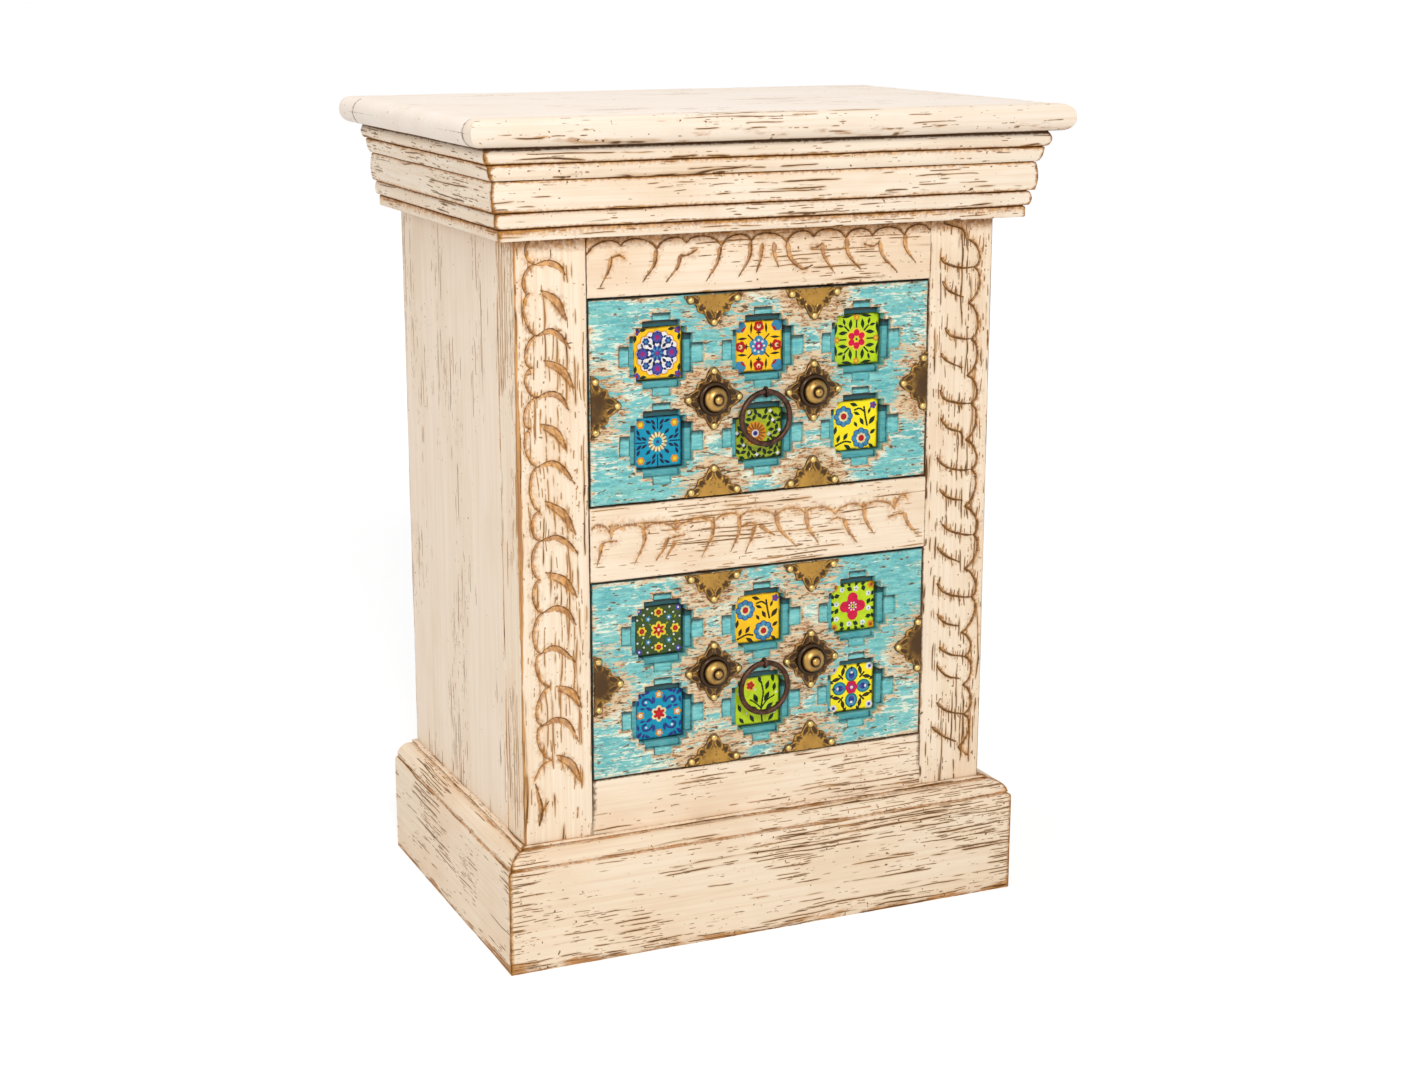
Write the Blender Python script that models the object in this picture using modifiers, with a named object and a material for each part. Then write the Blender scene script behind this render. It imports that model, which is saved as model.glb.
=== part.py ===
"""A two-drawer nightstand: painted case with moulded plinth and cornice, tiled drawer fronts, ring pulls.

Metres, +Z up. The front looks along -Y. The origin is on the floor, under the middle of the top.
"""

import math

import bmesh
import bpy
from mathutils import Matrix

for old in list(bpy.data.objects):
    bpy.data.objects.remove(old, do_unlink=True)

# Clearances
SEAT_GAP = 0.0003  # between pieces that are glued, nailed or resting on each other
FRONT_GAP = 0.0015  # the dark line round each drawer front
GUIDE_GAP = 0.0008  # beside a drawer, so that it slides
KICK_GAP = 0.0010  # over a drawer's sides, so that it slides

# The case
BODY_WIDTH = 0.388
BODY_DEPTH = 0.272
POST_WIDTH = 0.054
FRAME_DEPTH = 0.037
SIDE_THICKNESS = 0.018
BACK_THICKNESS = 0.008
BACK_LIFT = 0.010
FLOOR_BOARD_THICKNESS = 0.012
BOTTOM_RAIL_HEIGHT = 0.0415
BOTTOM_RAIL_TUCK = 0.030  # how far the bottom rail runs down behind the plinth
OPENING_HEIGHT = 0.154
MIDDLE_RAIL_HEIGHT = 0.056
TOP_RAIL_HEIGHT = 0.0455

# The plinth: a board with an ovolo on its upper edge, inside a small ledge
PLINTH_HEIGHT = 0.081
PLINTH_PROJECTION = 0.020
PLINTH_LEDGE = 0.004
PLINTH_QUIRK = 0.0015
PLINTH_OVOLO_HEIGHT = 0.011
PLINTH_FLAT = 0.0045

# The cornice, from its lowest member up, each with its height and how far it stands out
FILLET_HEIGHT = 0.0085
FILLET_PROJECTION = 0.0175
LOWER_BEAD_HEIGHT = 0.0115
LOWER_BEAD_PROJECTION = 0.0210
SWELL_HEIGHT = 0.0220
SWELL_PROJECTION = 0.0240
OVOLO_HEIGHT = 0.0115
OVOLO_PROJECTION = 0.0270
TOP_BEAD_HEIGHT = 0.0120
TOP_BEAD_PROJECTION = 0.0310
BEAD_BULGE = 0.0022
OVOLO_BULGE = 0.0045
ARC_STEPS = 5

# The top, of a wide panel between a front edging and a back strip
TOP_THICKNESS = 0.020
TOP_OVERHANG = 0.044
TOP_BACK_OVERHANG = 0.015
EDGING_WIDTH = 0.018
BACK_STRIP_WIDTH = 0.041
NOSE_RADIUS = 0.0092
NOSE_STEPS = 4

# Drawer runners, kickers and stops
RUNNER_REACH = 0.012  # how far a ledge runs in under the drawer
RUNNER_LEDGE_THICKNESS = 0.015
RUNNER_GUIDE_HEIGHT = 0.020
KICKER_THICKNESS = 0.020
STOP_WIDTH = 0.040
STOP_HEIGHT = 0.030

# The drawer boxes
FRONT_THICKNESS = 0.020
BOX_SIDE_THICKNESS = 0.010
BOX_SIDE_HEIGHT = 0.140
BOX_BACK_THICKNESS = 0.010
BOX_BACK_DROP = 0.012  # how far the back stays below the sides
BOX_BOTTOM_THICKNESS = 0.005
BOX_BOTTOM_LIFT = 0.008
GROOVE_DEPTH = 0.005
BOX_REAR_ROOM = 0.0075  # between a drawer and the back panel, where its stop stands

# The tiles, three across and two up, each in a pocket with a stepped cross round it
TILE_SIZE = 0.039
TILE_THICKNESS = 0.005
TILE_ROUNDING = 0.0006
TILE_GROUT = 0.0005
TILE_SET_BACK = 0.0088
TILE_PITCH_X = 0.082
TILE_PITCH_Z = 0.066
INNER_STEP_DEPTH = 0.0056
INNER_STEP_REACH = 0.005
INNER_STEP_WIDTH = 0.030
OUTER_STEP_DEPTH = 0.0028
OUTER_STEP_REACH_X = 0.0085
OUTER_STEP_REACH_Z = 0.0055
OUTER_STEP_WIDTH = 0.015
CUTTER_OVERRUN = 0.002

# The brass plates with their bosses
PLATE_OFFSET_X = 0.041
PLATE_DROP = 0.002
PLATE_LOBE = 0.0235
PLATE_NOTCH = 0.0135
PLATE_THICKNESS = 0.0012
PLATE_LOBE_SHAPE = 0.8  # below 1 the lobes are fuller, above 1 more pointed
PLATE_POINTS = 56
BOSS_RADIUS = 0.0126
BOSS_FLANGE_HEIGHT = 0.0035
BOSS_DOME_RADIUS = 0.0094
BOSS_DOME_HEIGHT = 0.0050
BOSS_BUTTON_RADIUS = 0.0032
BOSS_BUTTON_HEIGHT = 0.0025
BOSS_ARC_STEPS = 4
BOSS_STEPS = 24

# The iron ring pulls, each hung in an eye pin
RING_DIAMETER = 0.0435
RING_WIRE = 0.0042
EYE_WIRE = 0.0019
EYE_PLAY = 0.0004
EYE_SHANK = 0.0026
EYE_SHANK_LENGTH = 0.012
PULL_RISE = 0.0006  # how far the eye stands above the drawer's middle
RING_STEPS = 32
EYE_STEPS = 20
WIRE_SIDES = 8
SHANK_SIDES = 12

# Places that follow from the sizes
PLINTH_CAP = PLINTH_QUIRK + PLINTH_OVOLO_HEIGHT
BODY_Z = PLINTH_HEIGHT + PLINTH_CAP
LOWER_Z = BODY_Z + BOTTOM_RAIL_HEIGHT
MIDDLE_Z = LOWER_Z + OPENING_HEIGHT
UPPER_Z = MIDDLE_Z + MIDDLE_RAIL_HEIGHT
TOP_RAIL_Z = UPPER_Z + OPENING_HEIGHT
CORNICE_Z = TOP_RAIL_Z + TOP_RAIL_HEIGHT
CORNICE_HEIGHT = FILLET_HEIGHT + LOWER_BEAD_HEIGHT + SWELL_HEIGHT + OVOLO_HEIGHT + TOP_BEAD_HEIGHT
TOP_Z = CORNICE_Z + CORNICE_HEIGHT

HALF_BODY = BODY_WIDTH / 2
HALF_OPENING = HALF_BODY - POST_WIDTH
HALF_INSIDE = HALF_BODY - SIDE_THICKNESS
HALF_TOP = HALF_BODY + TOP_OVERHANG
TOP_FRONT_Y = -(BODY_DEPTH + TOP_OVERHANG + TOP_BACK_OVERHANG) / 2
TOP_BACK_Y = -TOP_FRONT_Y
BODY_FRONT_Y = TOP_FRONT_Y + TOP_OVERHANG
BODY_BACK_Y = BODY_FRONT_Y + BODY_DEPTH
FRAME_BACK_Y = BODY_FRONT_Y + FRAME_DEPTH
BACK_PANEL_Y = BODY_BACK_Y - BACK_THICKNESS

POCKET_HALF = TILE_SIZE / 2 + TILE_GROUT
RING_RADIUS = (RING_DIAMETER - RING_WIRE) / 2
EYE_RADIUS = RING_WIRE / 2 + EYE_PLAY + EYE_WIRE / 2
EYE_STAND_OFF = EYE_RADIUS + EYE_WIRE / 2 + SEAT_GAP  # from the drawer front to the eye's middle


# The collections and the finishes
parts = bpy.data.collections.new("nightstand")
cutters = bpy.data.collections.new("nightstand_cutters")
bpy.context.scene.collection.children.link(parts)
bpy.context.scene.collection.children.link(cutters)


def finish(name, colour, roughness, metallic=0.0):
    material = bpy.data.materials.new(name)
    material.use_nodes = True
    shader = material.node_tree.nodes["Principled BSDF"]
    shader.inputs["Base Color"].default_value = (*colour, 1.0)
    shader.inputs["Roughness"].default_value = roughness
    shader.inputs["Metallic"].default_value = metallic
    return material


CREAM_PAINT = finish("cream_chalk_paint", (0.89, 0.77, 0.62), 0.65)
TURQUOISE_PAINT = finish("turquoise_worn_paint", (0.10, 0.46, 0.56), 0.60)
BARE_WOOD = finish("bare_mango_wood", (0.42, 0.25, 0.12), 0.70)
BRASS = finish("aged_brass", (0.34, 0.20, 0.05), 0.38, 1.0)
IRON = finish("brown_iron", (0.07, 0.035, 0.025), 0.45, 1.0)
TILE_GROUNDS = {
    "yellow": finish("yellow_glaze", (0.90, 0.62, 0.02), 0.12),
    "amber": finish("amber_glaze", (0.90, 0.45, 0.01), 0.12),
    "lime": finish("lime_glaze", (0.45, 0.58, 0.03), 0.12),
    "blue": finish("blue_glaze", (0.02, 0.22, 0.45), 0.12),
    "olive": finish("olive_glaze", (0.20, 0.26, 0.04), 0.12),
    "green": finish("dark_green_glaze", (0.03, 0.10, 0.03), 0.12),
}
UPPER_TILES = ("yellow", "amber", "lime", "blue", "olive", "yellow")
LOWER_TILES = ("green", "amber", "lime", "blue", "lime", "yellow")


def place(name, mesh, material, parent=None, location=(0, 0, 0)):
    """Puts a mesh into the nightstand as one named piece."""
    piece = bpy.data.objects.new(name, mesh)
    mesh.materials.clear()
    mesh.materials.append(material)
    parts.objects.link(piece)
    piece.parent = parent
    piece.location = location
    return piece


def cutter(name, mesh, parent, location=(0, 0, 0)):
    tool = bpy.data.objects.new(name, mesh)
    cutters.objects.link(tool)
    tool.hide_render = True
    tool.display_type = "WIRE"
    tool.parent = parent
    tool.location = location
    return tool


def boolean(piece, tool, operation):
    modifier = piece.modifiers.new(tool.name, "BOOLEAN")
    modifier.operation = operation
    modifier.object = tool
    modifier.solver = "EXACT"


def box(name, low, high, round_edges=None, radius=0.0, steps=1):
    """A block between two corners. round_edges picks, from an edge's middle, the edges to round."""
    bm = bmesh.new()
    bmesh.ops.create_cube(bm, size=1.0)
    size = [b - a for a, b in zip(low, high)]
    middle = [(a + b) / 2 for a, b in zip(low, high)]
    bmesh.ops.scale(bm, verts=bm.verts, vec=size)
    if round_edges:
        chosen = [e for e in bm.edges if round_edges((e.verts[0].co + e.verts[1].co) / 2)]
        bmesh.ops.bevel(bm, geom=chosen, offset=radius, segments=steps, profile=0.5, affect="EDGES")
    bmesh.ops.translate(bm, verts=bm.verts, vec=middle)
    mesh = bpy.data.meshes.new(name)
    bm.to_mesh(mesh)
    bm.free()
    return mesh


# How an outline's two axes and its thickness lie in the world
LAID = {
    "X": Matrix(((0, 0, 1, 0), (1, 0, 0, 0), (0, 1, 0, 0), (0, 0, 0, 1))),
    "Y": Matrix(((1, 0, 0, 0), (0, 0, 1, 0), (0, 1, 0, 0), (0, 0, 0, 1))),
}


def extruded(name, outlines, axis, start, end, saw_cuts=()):
    """Flat outlines, (y, z) for axis X and (x, z) for axis Y, drawn out from start to end.

    Each saw cut is a point and a direction: what lies that way from the point comes off.
    """
    curve = bpy.data.curves.new(name, "CURVE")
    curve.dimensions = "2D"
    curve.fill_mode = "BOTH"
    curve.extrude = (end - start) / 2
    for outline in outlines:
        spline = curve.splines.new("POLY")
        spline.points.add(len(outline) - 1)
        for point, (across, up) in zip(spline.points, outline):
            point.co = (across, up, 0.0, 1.0)
        spline.use_cyclic_u = True
    drawing = bpy.data.objects.new(name, curve)
    bpy.context.scene.collection.objects.link(drawing)
    graph = bpy.context.evaluated_depsgraph_get()
    mesh = bpy.data.meshes.new_from_object(drawing.evaluated_get(graph))
    bpy.data.objects.remove(drawing, do_unlink=True)
    bm = bmesh.new()
    bm.from_mesh(mesh)
    bmesh.ops.remove_doubles(bm, verts=bm.verts, dist=1e-6)
    bmesh.ops.translate(bm, verts=bm.verts, vec=(0, 0, (start + end) / 2))
    bmesh.ops.transform(bm, verts=bm.verts, matrix=LAID[axis])
    for point, direction in saw_cuts:
        cut = bmesh.ops.bisect_plane(
            bm,
            geom=bm.verts[:] + bm.edges[:] + bm.faces[:],
            dist=1e-7,
            plane_co=point,
            plane_no=direction,
            clear_outer=True,
        )
        rim = [g for g in cut["geom_cut"] if isinstance(g, bmesh.types.BMEdge)]
        bmesh.ops.edgeloop_fill(bm, edges=rim)
    bmesh.ops.recalc_face_normals(bm, faces=bm.faces)
    bm.to_mesh(mesh)
    bm.free()
    return mesh


def board(name, x, y, z, material, parent=None):
    """A plain sawn board over three ranges."""
    return place(name, box(name, *zip(x, y, z)), material, parent)


# The case's own boards
def mirrored(side, inner, outer):
    """A range of x on the left or the right, from distances to the middle."""
    return (inner, outer) if side == "right" else (-outer, -inner)


under_top = TOP_Z - SEAT_GAP
for side in ("left", "right"):
    board(
        f"post_front_{side}",
        mirrored(side, HALF_OPENING, HALF_BODY),
        (BODY_FRONT_Y, FRAME_BACK_Y),
        (0, under_top),
        CREAM_PAINT,
    )
    board(
        f"side_panel_{side}",
        mirrored(side, HALF_INSIDE, HALF_BODY),
        (FRAME_BACK_Y + SEAT_GAP, BODY_BACK_Y),
        (0, under_top),
        CREAM_PAINT,
    )

between_posts = (-HALF_OPENING + SEAT_GAP, HALF_OPENING - SEAT_GAP)
between_sides = (-HALF_INSIDE + SEAT_GAP, HALF_INSIDE - SEAT_GAP)
frame_depth = (BODY_FRONT_Y, FRAME_BACK_Y)
inside_depth = (FRAME_BACK_Y + SEAT_GAP, BACK_PANEL_Y - SEAT_GAP)
board("rail_top", between_posts, frame_depth, (TOP_RAIL_Z, under_top), CREAM_PAINT)
board("rail_middle", between_posts, frame_depth, (MIDDLE_Z, UPPER_Z), CREAM_PAINT)
board("rail_bottom", between_posts, frame_depth, (BODY_Z - BOTTOM_RAIL_TUCK, LOWER_Z), CREAM_PAINT)
board("back_panel", between_sides, (BACK_PANEL_Y, BODY_BACK_Y), (BACK_LIFT, under_top), BARE_WOOD)
board("bottom_board", between_sides, inside_depth, (BODY_Z - FLOOR_BOARD_THICKNESS, BODY_Z), BARE_WOOD)


# The mouldings, as (projection, height) outlines
def bulge(projection, depth, low, high):
    """A bead: a flat half round between two heights."""
    return [
        (projection - depth + depth * math.sin(math.pi * i / ARC_STEPS), low + (high - low) * i / ARC_STEPS)
        for i in range(ARC_STEPS + 1)
    ]


def ovolo(inner, outer, foot, head):
    """A quarter round from its inner edge, at height foot, out to its outer edge, at height head."""
    return [
        (
            inner + (outer - inner) * math.sin(math.pi / 2 * i / ARC_STEPS),
            foot + (head - foot) * (1 - math.cos(math.pi / 2 * i / ARC_STEPS)),
        )
        for i in range(ARC_STEPS + 1)
    ]


def plinth_profile():
    face = PLINTH_PROJECTION
    shoulder = face - PLINTH_LEDGE
    rounding = ovolo(PLINTH_FLAT, shoulder, PLINTH_HEIGHT + PLINTH_CAP, PLINTH_HEIGHT + PLINTH_QUIRK)
    ledge = [(face, 0.0), (face, PLINTH_HEIGHT), (shoulder, PLINTH_HEIGHT)]
    return [(SEAT_GAP, 0.0)] + ledge + rounding[::-1] + [(SEAT_GAP, PLINTH_HEIGHT + PLINTH_CAP)]


def cornice_profile():
    bead = CORNICE_Z + FILLET_HEIGHT
    swell = bead + LOWER_BEAD_HEIGHT
    quarter = swell + SWELL_HEIGHT
    top_bead = quarter + OVOLO_HEIGHT
    outline = [(SEAT_GAP, CORNICE_Z), (FILLET_PROJECTION, CORNICE_Z), (FILLET_PROJECTION, bead)]
    outline += bulge(LOWER_BEAD_PROJECTION, BEAD_BULGE, bead, swell)[1:]
    outline += bulge(SWELL_PROJECTION, BEAD_BULGE, swell, quarter)
    outline += ovolo(OVOLO_PROJECTION - OVOLO_BULGE, OVOLO_PROJECTION, quarter, top_bead)[1:]
    outline += bulge(TOP_BEAD_PROJECTION, BEAD_BULGE, top_bead, under_top)
    return outline + [(SEAT_GAP, under_top)]


def run_round(prefix, profile, material):
    """A moulding round the front and both sides, mitred at the front corners."""
    reach = max(projection for projection, _ in profile)
    corner = (HALF_BODY, BODY_FRONT_Y, 0)
    other_corner = (-HALF_BODY, BODY_FRONT_Y, 0)
    outline = [(BODY_FRONT_Y - projection, height) for projection, height in profile]
    mitres = ((corner, (1, 1, 0)), (other_corner, (-1, 1, 0)))
    mesh = extruded(prefix + "_front", [outline], "X", -HALF_BODY - 2 * reach, HALF_BODY + 2 * reach, mitres)
    place(prefix + "_front", mesh, material)
    for side, sign in (("left", -1), ("right", 1)):
        outline = [(sign * (HALF_BODY + projection), height) for projection, height in profile]
        start = (sign * HALF_BODY, BODY_FRONT_Y + 2 * SEAT_GAP, 0)
        name = f"{prefix}_{side}"
        mitre = ((start, (-sign, -1, 0)),)
        mesh = extruded(name, [outline], "Y", BODY_FRONT_Y - 2 * reach, BODY_BACK_Y, mitre)
        place(name, mesh, material)


run_round("plinth", plinth_profile(), CREAM_PAINT)
run_round("cornice", cornice_profile(), CREAM_PAINT)


# The top: rounded on its front and its ends
def on_end(middle):
    """The long edges of a block's two ends."""
    return abs(middle.x) > HALF_TOP - SEAT_GAP and abs(middle.z) > 0


edging_back = TOP_FRONT_Y + EDGING_WIDTH
strip_front = TOP_BACK_Y - BACK_STRIP_WIDTH
top_pieces = {
    "top_front_edging": (TOP_FRONT_Y, edging_back, lambda middle: middle.y <= 0),
    "top_panel": (edging_back + SEAT_GAP, strip_front - SEAT_GAP, on_end),
    "top_back_strip": (strip_front, TOP_BACK_Y, on_end),
}
for name, (front, back, chosen) in top_pieces.items():
    low = (-HALF_TOP, front, TOP_Z)
    high = (HALF_TOP, back, TOP_Z + TOP_THICKNESS)
    place(name, box(name, low, high, chosen, NOSE_RADIUS, NOSE_STEPS), CREAM_PAINT)


# Runners, kickers and stops
half_drawer = HALF_OPENING - FRONT_GAP
guide = half_drawer + GUIDE_GAP
ledge_end = half_drawer - BOX_SIDE_THICKNESS - RUNNER_REACH
for level, seat in (("upper", UPPER_Z), ("lower", LOWER_Z)):
    section = [
        (HALF_INSIDE - SEAT_GAP, seat - RUNNER_LEDGE_THICKNESS),
        (HALF_INSIDE - SEAT_GAP, seat + RUNNER_GUIDE_HEIGHT),
        (guide, seat + RUNNER_GUIDE_HEIGHT),
        (guide, seat),
        (ledge_end, seat),
        (ledge_end, seat - RUNNER_LEDGE_THICKNESS),
    ]
    for side, sign in (("left", -1), ("right", 1)):
        name = f"runner_{level}_{side}"
        outline = [(sign * across, up) for across, up in section]
        place(name, extruded(name, [outline], "Y", *inside_depth), BARE_WOOD)

side_top = UPPER_Z + SEAT_GAP + BOX_SIDE_HEIGHT
for side in ("left", "right"):
    board(
        f"kicker_{side}",
        mirrored(side, ledge_end, HALF_INSIDE - SEAT_GAP),
        inside_depth,
        (side_top + KICK_GAP, side_top + KICK_GAP + KICKER_THICKNESS),
        BARE_WOOD,
    )

drawer_rear_y = BACK_PANEL_Y - BOX_REAR_ROOM
for level, seat in (("upper", UPPER_Z), ("lower", LOWER_Z)):
    board(
        f"stop_{level}",
        (-STOP_WIDTH / 2, STOP_WIDTH / 2),
        (drawer_rear_y + SEAT_GAP, BACK_PANEL_Y - SEAT_GAP),
        (seat + BOX_BOTTOM_LIFT, seat + BOX_BOTTOM_LIFT + STOP_HEIGHT),
        BARE_WOOD,
    )


# The drawers. Each is built about an empty in the middle of its front face
def rectangle(middle_x, middle_z, half_x, half_z):
    return [
        (middle_x - half_x, middle_z - half_z),
        (middle_x + half_x, middle_z - half_z),
        (middle_x + half_x, middle_z + half_z),
        (middle_x - half_x, middle_z + half_z),
    ]


def cross(middle_x, middle_z, half_x, half_z, half_arm):
    """A cross with arms of one width, anticlockwise from the foot of its lower arm."""
    corner = [(half_arm, -half_z), (half_arm, -half_arm), (half_x, -half_arm)]
    quarter = corner + [(x, -z) for x, z in corner[::-1]]
    whole = quarter + [(-x, -z) for x, z in quarter]
    return [(middle_x + x, middle_z + z) for x, z in whole]


def plate_outline():
    """Four lobes, with a sharp notch between each two."""
    outline = []
    for i in range(PLATE_POINTS):
        angle = 2 * math.pi * i / PLATE_POINTS
        radius = PLATE_NOTCH + (PLATE_LOBE - PLATE_NOTCH) * abs(math.cos(2 * angle)) ** PLATE_LOBE_SHAPE
        outline.append((radius * math.cos(angle), radius * math.sin(angle)))
    return outline


def boss_profile():
    """From the button's middle, out and down to the flange's foot, as (radius, height)."""
    dome_foot = BOSS_FLANGE_HEIGHT
    dome_head = dome_foot + BOSS_DOME_HEIGHT
    points = []
    for i in range(BOSS_ARC_STEPS + 1):
        turn = math.pi / 2 * i / BOSS_ARC_STEPS
        height = dome_head + BOSS_BUTTON_HEIGHT * math.cos(turn)
        points.append((BOSS_BUTTON_RADIUS * math.sin(turn), height))
    neck = math.asin(BOSS_BUTTON_RADIUS / BOSS_DOME_RADIUS)
    for i in range(1, BOSS_ARC_STEPS + 1):
        turn = neck + (math.pi / 2 - neck) * i / BOSS_ARC_STEPS
        points.append((BOSS_DOME_RADIUS * math.sin(turn), dome_foot + BOSS_DOME_HEIGHT * math.cos(turn)))
    run = BOSS_RADIUS - BOSS_DOME_RADIUS
    for i in range(1, BOSS_ARC_STEPS + 1):
        turn = math.pi / 2 * i / BOSS_ARC_STEPS
        points.append((BOSS_DOME_RADIUS + run * math.sin(turn), BOSS_FLANGE_HEIGHT * math.cos(turn)))
    return points + [(0.0, 0.0)]


def turned(name, profile):
    """A profile's points joined in a row, to be spun about Z by a Screw modifier."""
    bm = bmesh.new()
    row = [bm.verts.new((radius, 0, height)) for radius, height in profile]
    for above, below in zip(row, row[1:]):
        bm.edges.new((above, below))
    mesh = bpy.data.meshes.new(name)
    bm.to_mesh(mesh)
    bm.free()
    return mesh


def torus(name, radius, wire, steps, turn_axis):
    """A wire ring about its middle, turned up from flat about turn_axis."""
    bpy.ops.mesh.primitive_torus_add(
        major_radius=radius,
        minor_radius=wire / 2,
        major_segments=steps,
        minor_segments=WIRE_SIDES,
        generate_uvs=False,
    )
    drawing = bpy.context.object
    mesh = drawing.data
    mesh.name = name
    bpy.data.objects.remove(drawing, do_unlink=True)
    mesh.transform(Matrix.Rotation(math.pi / 2, 4, turn_axis))
    mesh.shade_smooth()
    return mesh


def rod(name, diameter, start_y, end_y, height):
    """A round rod along Y."""
    bm = bmesh.new()
    bmesh.ops.create_cone(
        bm,
        cap_ends=True,
        segments=SHANK_SIDES,
        radius1=diameter / 2,
        radius2=diameter / 2,
        depth=end_y - start_y,
    )
    bmesh.ops.rotate(bm, verts=bm.verts, matrix=Matrix.Rotation(math.pi / 2, 3, "X"))
    bmesh.ops.translate(bm, verts=bm.verts, vec=(0, (start_y + end_y) / 2, height))
    mesh = bpy.data.meshes.new(name)
    bm.to_mesh(mesh)
    bm.free()
    return mesh


def drawer(level, opening_z, tile_grounds):
    middle_z = opening_z + OPENING_HEIGHT / 2
    slide = bpy.data.objects.new(f"{level}_drawer", None)
    parts.objects.link(slide)
    slide.location = (0, BODY_FRONT_Y, middle_z)

    # The front, with its pockets and the hole for the eye pin
    half_height = OPENING_HEIGHT / 2 - FRONT_GAP
    front = board(
        f"{level}_drawer_front",
        (-half_drawer, half_drawer),
        (0, FRONT_THICKNESS),
        (-half_height, half_height),
        TURQUOISE_PAINT,
        slide,
    )
    tile_middles = [
        (column * TILE_PITCH_X, row * TILE_PITCH_Z / 2) for row in (1, -1) for column in (-1, 0, 1)
    ]
    inner_half = POCKET_HALF + INNER_STEP_REACH
    outer_half = (inner_half + OUTER_STEP_REACH_X, inner_half + OUTER_STEP_REACH_Z)
    cuts = {
        "outer_step": (
            OUTER_STEP_DEPTH,
            [cross(x, z, *outer_half, OUTER_STEP_WIDTH / 2) for x, z in tile_middles],
        ),
        "inner_step": (
            INNER_STEP_DEPTH,
            [cross(x, z, inner_half, inner_half, INNER_STEP_WIDTH / 2) for x, z in tile_middles],
        ),
        "pocket": (
            TILE_SET_BACK + TILE_THICKNESS + SEAT_GAP,
            [rectangle(x, z, POCKET_HALF, POCKET_HALF) for x, z in tile_middles],
        ),
    }
    for cut, (depth, outlines) in cuts.items():
        name = f"{level}_{cut}_cutter"
        tool = cutter(name, extruded(name, outlines, "Y", -CUTTER_OVERRUN, depth), slide)
        boolean(front, tool, "DIFFERENCE")
    name = f"{level}_eye_hole_cutter"
    hole = EYE_SHANK + 2 * SEAT_GAP
    hole_end = EYE_SHANK_LENGTH + SEAT_GAP
    tool = cutter(name, rod(name, hole, -CUTTER_OVERRUN, hole_end, PULL_RISE), slide)
    boolean(front, tool, "DIFFERENCE")

    # The tiles, counted along the upper row and then the lower
    tile_y = (TILE_SET_BACK, TILE_SET_BACK + TILE_THICKNESS)
    for number, ((x, z), ground) in enumerate(zip(tile_middles, tile_grounds), 1):
        name = f"{level}_tile_{number}"
        low = (x - TILE_SIZE / 2, tile_y[0], z - TILE_SIZE / 2)
        high = (x + TILE_SIZE / 2, tile_y[1], z + TILE_SIZE / 2)
        mesh = box(name, low, high, lambda middle: middle.y < 0, TILE_ROUNDING, 1)
        place(name, mesh, TILE_GROUNDS[ground], slide)

    # The box behind the front
    seat = -OPENING_HEIGHT / 2 + SEAT_GAP
    rear = drawer_rear_y - BODY_FRONT_Y
    box_y = (FRONT_THICKNESS + SEAT_GAP, rear)
    groove_z = seat + BOX_BOTTOM_LIFT
    wall = half_drawer - BOX_SIDE_THICKNESS
    groove = wall + GROOVE_DEPTH
    groove_top = groove_z + BOX_BOTTOM_THICKNESS + SEAT_GAP
    section = [
        (half_drawer, seat),
        (half_drawer, seat + BOX_SIDE_HEIGHT),
        (wall, seat + BOX_SIDE_HEIGHT),
        (wall, groove_top),
        (groove, groove_top),
        (groove, groove_z - SEAT_GAP),
        (wall, groove_z - SEAT_GAP),
        (wall, seat),
    ]
    for side, sign in (("left", -1), ("right", 1)):
        name = f"{level}_drawer_side_{side}"
        outline = [(sign * across, up) for across, up in section]
        place(name, extruded(name, [outline], "Y", *box_y), BARE_WOOD, slide)
    in_groove = groove - SEAT_GAP
    bottom_z = (groove_z, groove_z + BOX_BOTTOM_THICKNESS)
    board(f"{level}_drawer_bottom", (-in_groove, in_groove), box_y, bottom_z, BARE_WOOD, slide)
    board(
        f"{level}_drawer_back",
        (-wall + SEAT_GAP, wall - SEAT_GAP),
        (rear - BOX_BACK_THICKNESS, rear),
        (bottom_z[1] + SEAT_GAP, seat + BOX_SIDE_HEIGHT - BOX_BACK_DROP),
        BARE_WOOD,
        slide,
    )

    # The brass plates and the bosses on them
    plate_y = -SEAT_GAP - PLATE_THICKNESS
    for side, x in (("left", -PLATE_OFFSET_X), ("right", PLATE_OFFSET_X)):
        name = f"{level}_plate_{side}"
        mesh = extruded(name, [plate_outline()], "Y", 0, PLATE_THICKNESS)
        place(name, mesh, BRASS, slide, (x, plate_y, -PLATE_DROP))
        name = f"{level}_boss_{side}"
        boss = place(name, turned(name, boss_profile()), BRASS, slide, (x, plate_y - SEAT_GAP, -PLATE_DROP))
        boss.rotation_euler = (math.pi / 2, 0, 0)
        spin = boss.modifiers.new("turned", "SCREW")
        spin.steps = BOSS_STEPS
        spin.render_steps = BOSS_STEPS
        spin.use_merge_vertices = True
        spin.merge_threshold = 1e-5
        spin.use_smooth_shade = True

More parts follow.
